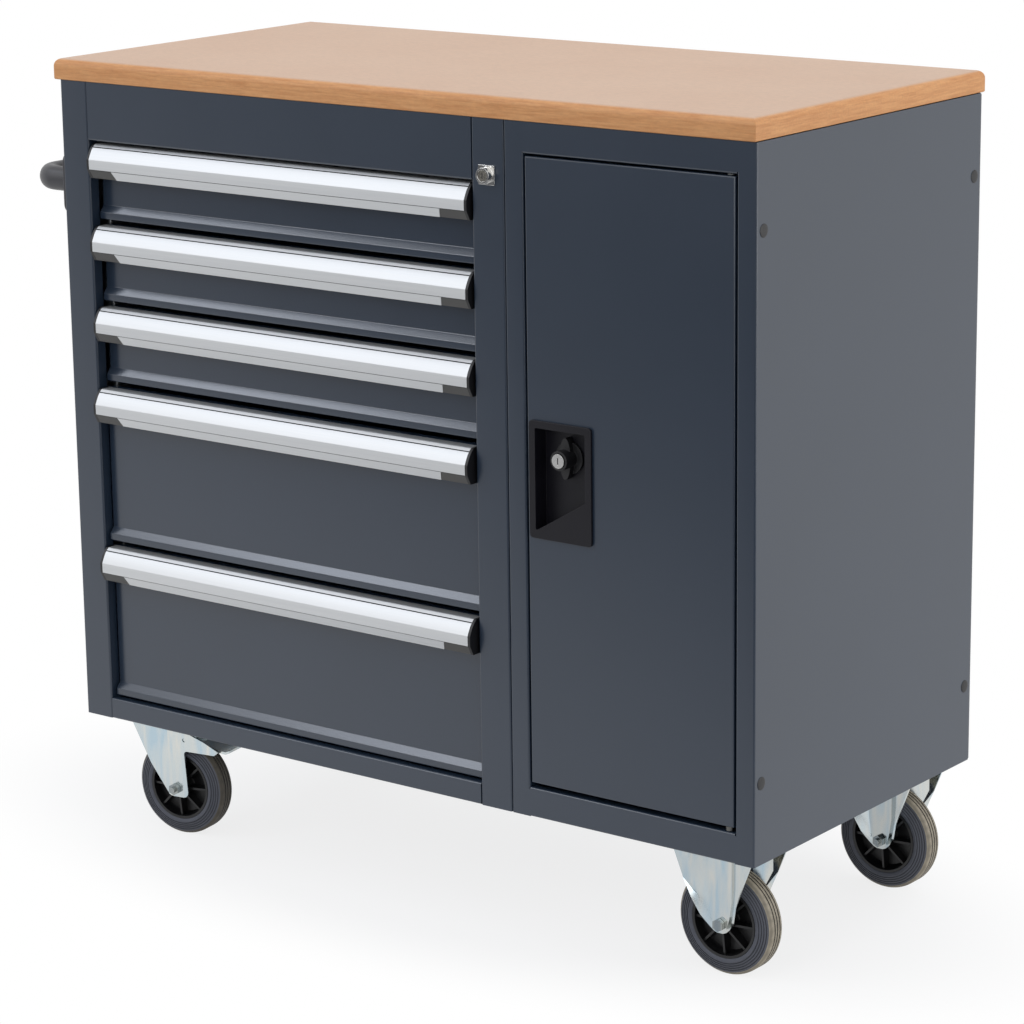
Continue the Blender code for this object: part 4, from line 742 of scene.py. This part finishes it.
def pressed_board(name):
    """Oiled board: a pale face with short fibres, and warmer layered bands on the cut edges."""
    finish, tree, shader, place = new_finish(name)
    fibre = add(tree, "ShaderNodeMapping", {"Vector": place,
                                            "Scale": (BOARD_FIBRE_STRETCH, 1.0, 1.0)})
    speck = add(tree, "ShaderNodeTexNoise", {"Vector": fibre.outputs[0], "Scale": 1 / BOARD_FIBRE,
                                             "Detail": 4.0, "Roughness": 0.7})
    cloud = add(tree, "ShaderNodeTexNoise", {"Vector": place, "Scale": 1 / BOARD_CLOUD,
                                             "Detail": 3.0})
    layers = add(tree, "ShaderNodeMapping", {
        "Vector": place, "Scale": (BOARD_BAND_STRETCH, BOARD_BAND_STRETCH, 1.0)})
    bands = add(tree, "ShaderNodeTexNoise", {"Vector": layers.outputs[0], "Scale": 1 / BOARD_BAND,
                                             "Detail": 2.0, "Roughness": 0.6})
    top = add(tree, "ShaderNodeMix", {0: cloud.outputs["Fac"], 6: linear("d3af93"),
                                      7: linear("dbbba0")}, data_type="RGBA")
    grain = add(tree, "ShaderNodeMapRange", {"Value": speck.outputs["Fac"], 1: NOISE_LOW,
                                             2: NOISE_HIGH, 3: GRAIN_DARK, 4: GRAIN_LIGHT})
    face = add(tree, "ShaderNodeMix", {0: 1.0, 6: top.outputs[2], 7: grain.outputs[0]},
               data_type="RGBA", blend_type="MULTIPLY")
    strength = add(tree, "ShaderNodeMapRange", {"Value": bands.outputs["Fac"], 1: NOISE_LOW,
                                                2: NOISE_HIGH})
    layer = add(tree, "ShaderNodeMix", {0: strength.outputs[0], 6: linear("cf8f58"),
                                        7: linear("e2a66d")}, data_type="RGBA")
    edge = add(tree, "ShaderNodeMix", {0: 1.0, 6: layer.outputs[2], 7: grain.outputs[0]},
               data_type="RGBA", blend_type="MULTIPLY")
    normal = add(tree, "ShaderNodeTexCoord", {}).outputs["Normal"]
    upright = add(tree, "ShaderNodeSeparateXYZ", {0: normal})
    level = add(tree, "ShaderNodeMapRange", {"Value": upright.outputs[2], 1: EDGE_UPRIGHT,
                                             2: FACE_UPRIGHT})
    colour = add(tree, "ShaderNodeMix", {0: level.outputs[0], 6: edge.outputs[2],
                                         7: face.outputs[2]}, data_type="RGBA")
    relief = add(tree, "ShaderNodeBump", {"Height": speck.outputs["Fac"],
                                          "Strength": BOARD_FIBRE_RELIEF,
                                          "Distance": BOARD_FIBRE / 6})
    gloss = add(tree, "ShaderNodeMapRange", {"Value": speck.outputs["Fac"], 3: BOARD_BRIGHT,
                                             4: BOARD_DULL})
    join(tree, shader, Base_Color=colour.outputs[2], Normal=relief.outputs[0],
         Roughness=gloss.outputs[0])
    return finish


def worktop():
    """Level rings from the bottom edge up and over the milled round, each a rounded rectangle."""
    low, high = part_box("worktop")
    levels = [(BOARD_BOTTOM_ROUND, low.z), (0.0, low.z + BOARD_BOTTOM_ROUND)]
    for step in range(BOARD_ROUND_STEPS + 1):
        angle = math.pi / 2 * step / BOARD_ROUND_STEPS
        levels.append((BOARD_TOP_ROUND * (1 - math.cos(angle)),
                       high.z - BOARD_TOP_ROUND * (1 - math.sin(angle))))
    bm = bmesh.new()
    rings = []
    for inset, level in levels:
        outline = rounded_corners([(low.x + inset, low.y + inset), (high.x - inset, low.y + inset),
                                   (high.x - inset, high.y - inset),
                                   (low.x + inset, high.y - inset)],
                                  max(BOARD_CORNER - inset / 4, BOARD_CORNER / 4),
                                  BOARD_CORNER_STEPS)
        rings.append([bm.verts.new((point.x, point.y, level)) for point in outline])
    for below, above in zip(rings, rings[1:]):
        bridge(bm, below, above)
    bm.faces.new(rings[0])
    bm.faces.new(rings[-1])
    bmesh.ops.recalc_face_normals(bm, faces=bm.faces)
    return bm


BOARD = pressed_board("oiled_pressed_fibre_board")
seat("worktop_board", worktop(), [BOARD], "cabinet", ["worktop"],
     crease=BOARD_CREASE)


# Wheels: a moulded rim with ribs, and a grey-black rubber tyre pulled over it. The mould leaves
# fine rings on the sidewalls, and use has dusted the tread tan between its lines. The rubber in
# the rings and in the tread lines is painted darker, as painted shade.
TYRE_STEPS = 96
TYRE_RADIUS = 0.0625
TYRE_SHOULDER = 0.0590
TYRE_SHOULDER_HALF = 0.0125
TYRE_BEAD = 0.0460
TYRE_BEAD_HALF = 0.0165
TYRE_CREASE = math.radians(50)
RING_RADII = (0.0480, 0.0508, 0.0536, 0.0564)
RING_HALF = 0.0006
RING_FLOOR_HALF = 0.0004
RING_DEPTH = 0.0006
TREAD_LINES = (0.0050, 0.0, -0.0050)
TREAD_LINE_HALF = 0.0008
TREAD_LINE_FLOOR_HALF = 0.0005
TREAD_LINE_DEPTH = 0.0014
TREAD_LINED_HALF = 0.0060
# Half sections, as distance from the axle and from the wheel's middle
BEAD_SECTION = ((0.0423, 0.0150), (0.0435, 0.0160), (0.0450, 0.0161), (0.0456, 0.0165),
                (0.0468, 0.0165))
SHOULDER_SECTION = ((0.0580, 0.0128), (0.0590, 0.0125), (0.0602, 0.0115), (0.0619, 0.0093),
                    (0.0625, 0.0085))
RIM_SECTION = ((0.0043, 0.0190), (0.0112, 0.0190), (0.0120, 0.0182), (0.0126, 0.0055),
               (0.0145, 0.0030), (0.0350, 0.0030), (0.0375, 0.0060), (0.0385, 0.0149),
               (0.0391, 0.0155), (0.0420, 0.0155))
RIM_STEPS = 64
RIM_CREASE = math.radians(45)
RIBS = 8
RIB_ENDS = ((0.0110, 0.0165), (0.0390, 0.0125))
RIB_SUNK = 0.0025
RIB_ROOT_HALF = 0.0022
RIB_CREST_HALF = 0.0013
RUBBER_MOTTLE = 1 / 120
RUBBER_PIT = 1 / 900
RUBBER_PIT_DEPTH = 0.0002
RUBBER_RELIEF = 0.15
RUBBER_BRIGHT = 0.52
RUBBER_DULL = 0.68
DUST_WAVE = math.tau / 1300
DUST_THIN_SHARE = 0.45


def tyre_rubber(name, dark, light, dust):
    """Carbon-filled rubber, with pale dust left where the share called dust is high."""
    finish, tree, shader, place = new_finish(name)
    mottle = add(tree, "ShaderNodeTexNoise", {"Vector": place, "Scale": 1 / RUBBER_MOTTLE,
                                              "Detail": 3.0})
    fine = add(tree, "ShaderNodeTexNoise", {"Vector": place, "Scale": 1 / RUBBER_PIT,
                                            "Detail": 2.0})
    base = add(tree, "ShaderNodeMix", {0: mottle.outputs["Fac"], 6: linear(dark), 7: linear(light)},
               data_type="RGBA")
    axes = add(tree, "ShaderNodeSeparateXYZ", {0: place})
    line = add(tree, "ShaderNodeMath", {0: axes.outputs[1], 1: math.tau / DUST_WAVE},
               operation="MULTIPLY")
    wave = add(tree, "ShaderNodeMath", {0: line.outputs[0]}, operation="SINE")
    streak = add(tree, "ShaderNodeMapRange", {"Value": wave.outputs[0], 1: -1.0, 2: 1.0,
                                              3: dust * DUST_THIN_SHARE, 4: dust})
    settled = add(tree, "ShaderNodeMath", {0: streak.outputs[0], 1: mottle.outputs["Fac"]},
                  operation="MULTIPLY")
    colour = add(tree, "ShaderNodeMix", {0: settled.outputs[0], 6: base.outputs[2],
                                         7: linear("c4b9a2")}, data_type="RGBA")
    relief = add(tree, "ShaderNodeBump", {"Height": fine.outputs["Fac"], "Strength": RUBBER_RELIEF,
                                          "Distance": RUBBER_PIT_DEPTH})
    gloss = add(tree, "ShaderNodeMapRange", {"Value": mottle.outputs["Fac"], 3: RUBBER_BRIGHT,
                                             4: RUBBER_DULL})
    join(tree, shader, Base_Color=colour.outputs[2], Normal=relief.outputs[0],
         Roughness=gloss.outputs[0])
    return finish


def tyre():
    """Half of the section is drawn and mirrored: bead, ringed sidewall, shoulder, lined tread."""
    slope = (TYRE_BEAD_HALF - TYRE_SHOULDER_HALF) / (TYRE_SHOULDER - TYRE_BEAD)
    half = list(BEAD_SECTION)
    for radius in RING_RADII:
        reach = TYRE_BEAD_HALF - (radius - TYRE_BEAD) * slope
        half += [(radius - RING_HALF, reach), (radius - RING_FLOOR_HALF, reach - RING_DEPTH),
                 (radius + RING_FLOOR_HALF, reach - RING_DEPTH), (radius + RING_HALF, reach)]
    half += SHOULDER_SECTION
    section = list(half)
    floor = TYRE_RADIUS - TREAD_LINE_DEPTH
    for line in TREAD_LINES:
        section += [(TYRE_RADIUS, line + TREAD_LINE_HALF), (floor, line + TREAD_LINE_FLOOR_HALF),
                    (floor, line - TREAD_LINE_FLOOR_HALF), (TYRE_RADIUS, line - TREAD_LINE_HALF)]
    section += [(radius, -reach) for radius, reach in reversed(half)]
    bm = lathe(section, TYRE_STEPS)
    # Faces in the sidewall rings and the tread lines take the painted shade.
    for face in bm.faces:
        middle = face.calc_center_median()
        radius = math.hypot(middle.x, middle.z)
        if radius > TYRE_SHOULDER:
            sunk = TYRE_RADIUS - radius > TREAD_LINE_DEPTH / 4
            face.material_index = 3 if sunk and abs(middle.y) < TREAD_LINED_HALF else 1
        elif any(abs(radius - ring) < RING_HALF for ring in RING_RADII):
            face.material_index = 2
    return bm


def rim():
    """The turned rim, with eight tapered ribs on each side of its web."""
    section = [*RIM_SECTION, *((radius, -reach) for radius, reach in reversed(RIM_SECTION))]
    bm = lathe(section, RIM_STEPS)
    for index in range(RIBS):
        turn = Matrix.Rotation(math.tau * index / RIBS, 4, "Y")
        for side in (1, -1):
            corners = []
            for radius, reach in RIB_ENDS:
                for depth, half in ((RIB_SUNK, RIB_ROOT_HALF), (reach, RIB_CREST_HALF)):
                    corners += [(radius, side * depth, -half), (radius, side * depth, half)]
            verts = [bm.verts.new(turn @ Vector(corner)) for corner in corners]
            for face in ((0, 1, 3, 2), (4, 6, 7, 5), (0, 4, 5, 1), (2, 3, 7, 6), (0, 2, 6, 4),
                         (1, 5, 7, 3)):
                bm.faces.new([verts[k] for k in face])
    bmesh.ops.recalc_face_normals(bm, faces=bm.faces)
    return bm


SIDEWALL = tyre_rubber("moulded_grey_rubber_sidewall", "42454d", "50535d", 0.04)
DUSTY_TREAD = tyre_rubber("dusty_rubber_tread", "5c564b", "766e60", 0.9)
# The front-left tread is painted darker, with less dust drawn on it: painted shade where it lies in
# the cart's shadow.
SHADED_TREAD_PAINTED = tyre_rubber("rubber_tread_painted_shade", "35312a", "453f35", 0.15)
# Rubber in the rings and the tread lines is painted darker: painted shade in the grooves.
RING_PAINTED_SHADE = tyre_rubber("rubber_in_mould_rings_painted_shade", "2b2d33", "35373e", 0.0)
TREAD_LINE_PAINTED_SHADE = tyre_rubber("rubber_in_tread_lines_painted_shade", "1c1b1b", "282624", 0.0)
RIM_PLASTIC = moulded_plastic("moulded_black_polypropylene", "050506", "0a0a0c", 0.40,
                              PLASTIC_GRAIN)
# How far each wheel is turned about its upright in the photograph
SWIVEL_DEGREES = {"front_left": 8.1, "back_left": 5.0, "front_right": 0.0, "back_right": 0.0}
for corner, degrees in SWIVEL_DEGREES.items():
    low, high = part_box(corner + "_rim")
    hub = Matrix.Translation((low + high) / 2) @ Matrix.Rotation(math.radians(degrees), 4, "Z")
    tread = SHADED_TREAD_PAINTED if corner == "front_left" else DUSTY_TREAD
    seat(corner + "_tyre_moulded", tyre(), [SIDEWALL, tread, RING_PAINTED_SHADE, TREAD_LINE_PAINTED_SHADE],
         corner + "_wheel", [corner + "_tyre"], turn=hub, crease=TYRE_CREASE)
    seat(corner + "_rim_moulded", rim(), [RIM_PLASTIC], corner + "_wheel",
         [corner + "_rim"], turn=hub, crease=RIM_CREASE)


# Casters: brackets and forks pressed from 2.5 mm steel and zinc plated, on plates bolted under
# the cabinet. An axle bolt with a hexagon head and a nut holds each wheel.
BRACKET_EASE = 0.0010
BRACKET_CREASE = math.radians(24)
CASTER_EASE = 0.0003
for corner in ("front_right", "back_right"):
    dress(corner + "_bracket", "plated", ZINC, ease=BRACKET_EASE,
          segments=3, crease=BRACKET_CREASE)
    dress(corner + "_axle", "plated", BOLT_ZINC, ease=CASTER_EASE)
for corner in ("front_left", "back_left"):
    for part, finish in (("plate", ZINC), ("fork", ZINC), ("axle", BOLT_ZINC),
                         ("brake_lever", ZINC)):
        dress("%s_%s" % (corner, part), "plated", finish, ease=CASTER_EASE)


# Plate bolts: four hexagon bolts hold each caster's plate under the cabinet, with a washer under
# each head. They are zinc plated steel, like the casters.
PLATE_THICKNESS = 0.0033
BOLT_ACROSS = 0.013
BOLT_HEIGHT = 0.0052
BOLT_CLEARANCE = 0.0001
BOLT_WASHER = 0.0085
BOLT_WASHER_SIDES = 24
BOLT_WASHER_THICKNESS = 0.0014
BOLT_X = 0.0425
BOLT_Y = 0.0305


def plate_bolts(centre, under):
    """Four bolts about a centre, with their washers just under the plate."""
    seat_level = under - BOLT_WASHER_THICKNESS
    bm = bmesh.new()
    for step_x in (-1, 1):
        for step_y in (-1, 1):
            for radius, sides, low, high in (
                    (BOLT_WASHER, BOLT_WASHER_SIDES, seat_level, under - BOLT_CLEARANCE),
                    (BOLT_ACROSS / math.sqrt(3), 6, seat_level - BOLT_HEIGHT, seat_level)):
                place = Matrix.Translation((centre.x + step_x * BOLT_X,
                                            centre.y + step_y * BOLT_Y, (low + high) / 2))
                bmesh.ops.create_cone(bm, cap_ends=True, segments=sides, radius1=radius,
                                      radius2=radius, depth=high - low, matrix=place)
    return bm


for corner, node in (("front_right", "bracket"), ("back_right", "bracket"), ("front_left", "plate"),
                     ("back_left", "plate")):
    low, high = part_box("%s_%s" % (corner, node))
    seat(corner + "_plate_bolts", plate_bolts((low + high) / 2, high.z - PLATE_THICKNESS), [ZINC],
         "cabinet", ease=CASTER_EASE)


# Studio: white paper that keeps the soft shadow, on a grey floor that begins in front to the
# right, with a white surround and large soft lamps. Beyond the shadow all of it is plain white
# to the camera, as in the photograph, and panels mirror the shadow, the paper and the grey floor.
FLOOR_SIZE = 30.0
# Between these distances, stretched along x and y, the shadow fades out in white. The lift is
# the white that is mixed over it nearer than that.
FLOOR_NEAR = 0.38
FLOOR_FAR = 0.66
FLOOR_STRETCH = (0.75, 1.5, 0.0)
FLOOR_LIFT = 0.80
PAPER_EDGE_START = 0.3
PAPER_EDGE_END = 1.85
PAPER_EDGE_SLANT = 0.65
PAPER_FIBRE = 1 / 300
PAPER_ROUGHNESS = 0.9
PAPER_SPECULAR = 0.1
# The mirrored floor's brightness, in a painted shadow of the cart about its middle and beyond the
# paper
SHADOW_START = 0.25
SHADOW_END = 0.75
SHADOW_MIRRORED = 0.45
FAR_MIRRORED = 0.0
SURROUND_STRENGTH = 0.70


def straight_view(tree):
    """The light path, and whether a thing is seen straight or through glass."""
    seen = add(tree, "ShaderNodeLightPath", {})
    straight = add(tree, "ShaderNodeMath", {0: seen.outputs["Is Camera Ray"],
                                            1: seen.outputs["Is Transmission Ray"]},
                   operation="MAXIMUM")
    return seen, straight


def studio_floor():
    """The floor: its own shaded paper near the cart, and plain white over it further out."""
    bm = bmesh.new()
    bmesh.ops.create_grid(bm, x_segments=1, y_segments=1, size=FLOOR_SIZE / 2)
    data = bpy.data.meshes.new("studio_floor")
    bm.to_mesh(data)
    bm.free()
    floor = bpy.data.objects.new("studio_floor", data)
    bpy.context.scene.collection.objects.link(floor)
    finish, tree, shader, place = new_finish("white_paper_floor", Roughness=PAPER_ROUGHNESS,
                                             Specular_IOR_Level=PAPER_SPECULAR)
    fibre = add(tree, "ShaderNodeTexNoise", {"Vector": place, "Scale": 1 / PAPER_FIBRE,
                                             "Detail": 2.0})
    paper = add(tree, "ShaderNodeMix", {0: fibre.outputs["Fac"], 6: linear("ebebeb"),
                                        7: linear("f0f0f0")}, data_type="RGBA")
    reach = add(tree, "ShaderNodeVectorMath", {0: place}, operation="LENGTH")
    across = add(tree, "ShaderNodeVectorMath", {0: place, 1: (PAPER_EDGE_SLANT, -1.0, 0.0)},
                 operation="DOT_PRODUCT")
    edge = add(tree, "ShaderNodeMapRange", {"Value": across.outputs["Value"],
                                            1: PAPER_EDGE_START, 2: PAPER_EDGE_END})
    tone = add(tree, "ShaderNodeMix", {0: edge.outputs[0], 6: paper.outputs[2],
                                       7: linear("606060")}, data_type="RGBA")
    join(tree, shader, Base_Color=tone.outputs[2])
    round_cart = add(tree, "ShaderNodeVectorMath", {0: place, 1: FLOOR_STRETCH},
                     operation="MULTIPLY")
    spread = add(tree, "ShaderNodeVectorMath", {0: round_cart.outputs[0]}, operation="LENGTH")
    share = add(tree, "ShaderNodeMapRange", {"Value": spread.outputs["Value"], 1: FLOOR_NEAR,
                                             2: FLOOR_FAR, 3: FLOOR_LIFT, 4: 1.0},
                interpolation_type="SMOOTHSTEP")
    seen, straight = straight_view(tree)
    viewed = add(tree, "ShaderNodeMath", {0: share.outputs[0], 1: straight.outputs[0]},
                 operation="MULTIPLY")
    # The cart's shadow in the mirrored floor is painted: a darker disc about the middle.
    shadow = add(tree, "ShaderNodeMapRange", {"Value": reach.outputs["Value"], 1: SHADOW_START,
                                              2: SHADOW_END, 3: SHADOW_MIRRORED},
                 interpolation_type="SMOOTHSTEP")
    sheen = add(tree, "ShaderNodeMapRange", {"Value": edge.outputs[0], 3: 1.0, 4: FAR_MIRRORED})
    both = add(tree, "ShaderNodeMath", {0: sheen.outputs[0], 1: shadow.outputs[0]},
               operation="MULTIPLY")
    mirrored = add(tree, "ShaderNodeMath", {0: both.outputs[0], 1: seen.outputs["Is Glossy Ray"]},
                   operation="MULTIPLY")
    amount = add(tree, "ShaderNodeMath", {0: viewed.outputs[0], 1: mirrored.outputs[0]},
                 operation="MAXIMUM")
    white = add(tree, "ShaderNodeEmission", {"Color": linear("ffffff"), "Strength": 1.0})
    pick = add(tree, "ShaderNodeMixShader", {0: amount.outputs[0], 1: shader.outputs[0],
                                             2: white.outputs[0]})
    out = tree.nodes["Material Output"]
    tree.links.new(pick.outputs[0], out.inputs["Surface"])
    data.materials.append(finish)


def lamp(name, place, target, width, height, power, colour):
    """A soft rectangular lamp: its place, target and size in metres, and its power in watts."""
    light = bpy.data.lights.new(name, "AREA")
    light.shape = "RECTANGLE"
    light.size = width
    light.size_y = height
    light.energy = power
    light.color = linear(colour)[:3]
    held = bpy.data.objects.new(name, light)
    held.location = place
    held.rotation_euler = (Vector(target) - Vector(place)).to_track_quat("-Z", "Y").to_euler()
    bpy.context.scene.collection.objects.link(held)


def surround():
    """A dim sky that lights the cart, and plain white where it is seen or mirrored."""
    world = bpy.data.worlds.new("white_surround")
    bpy.context.scene.world = world
    world.use_nodes = True
    tree = world.node_tree
    tree.nodes.clear()
    seen, straight = straight_view(tree)
    any_view = add(tree, "ShaderNodeMath", {0: straight.outputs[0],
                                            1: seen.outputs["Is Glossy Ray"]},
                   operation="MAXIMUM")
    fill = add(tree, "ShaderNodeBackground", {"Color": linear("f4f7ff"),
                                              "Strength": SURROUND_STRENGTH})
    white = add(tree, "ShaderNodeBackground", {"Color": linear("ffffff"), "Strength": 1.0})
    pick = add(tree, "ShaderNodeMixShader", {0: any_view.outputs[0], 1: fill.outputs[0],
                                             2: white.outputs[0]})
    out = add(tree, "ShaderNodeOutputWorld", {})
    tree.links.new(pick.outputs[0], out.inputs["Surface"])


studio_floor()
surround()
lamp("overhead_softbox", (0.3, 0.2, 2.8), (0.0, 0.0, 0.6), 2.6, 2.2, 10.0, "ffffff")
lamp("right_softbox", (3.0, 0.6, 0.75), (0.5, 0.0, 0.5), 2.2, 1.4, 23.0, "ffffff")
lamp("high_softbox", (-4.15, -2.95, 4.9), (-0.1, -0.2, 0.3), 2.2, 0.8, 34.0, "e8f0ff")
lamp("front_softbox", (-1.85, -2.5, 2.14), (-0.1, -0.2, 0.5), 1.1, 0.6, 11.0, "f8faff")
lamp("fill_softbox", (0.6, -3.0, 1.6), (-0.1, -0.2, 0.5), 1.2, 1.2, 8.0, "f8faff")
lamp("edge_strip", (2.5, -1.5, 0.45), (0.3, -0.2, 0.3), 0.5, 1.2, 4.0, "ffffff")


# Camera: the photograph's place, angle and lens, solved from the long straight edges of the
# cabinet. It stands to the right of the cart, a little above it, and is turned by a hair.
CAMERA_PLACE = (2.5197, -3.26845, 1.4731)
CAMERA_AZIMUTH = math.radians(37.261)
CAMERA_ELEVATION = math.radians(14.160)
CAMERA_ROLL = math.radians(-0.754)
CAMERA_REACH = 50.0
LENS_LENGTH = 123.45
SENSOR_WIDTH = 36.0


def camera():
    """The camera, looking back along its azimuth and elevation, with its roll."""
    level = math.cos(CAMERA_ELEVATION)
    back = Vector((math.sin(CAMERA_AZIMUTH) * level, -math.cos(CAMERA_AZIMUTH) * level,
                   math.sin(CAMERA_ELEVATION)))
    right = Vector((math.cos(CAMERA_AZIMUTH), math.sin(CAMERA_AZIMUTH), 0.0))
    up = back.cross(right)
    across = right * math.cos(CAMERA_ROLL) + up * math.sin(CAMERA_ROLL)
    upward = up * math.cos(CAMERA_ROLL) - right * math.sin(CAMERA_ROLL)
    turn = Matrix((across, upward, back)).transposed().to_4x4()
    lens = bpy.data.cameras.new("studio_camera")
    lens.lens = LENS_LENGTH
    lens.sensor_width = SENSOR_WIDTH
    lens.clip_end = CAMERA_REACH
    held = bpy.data.objects.new("studio_camera", lens)
    held.matrix_world = Matrix.Translation(CAMERA_PLACE) @ turn
    bpy.context.scene.collection.objects.link(held)
    bpy.context.scene.camera = held


camera()
bpy.context.scene.view_settings.view_transform = "Standard"
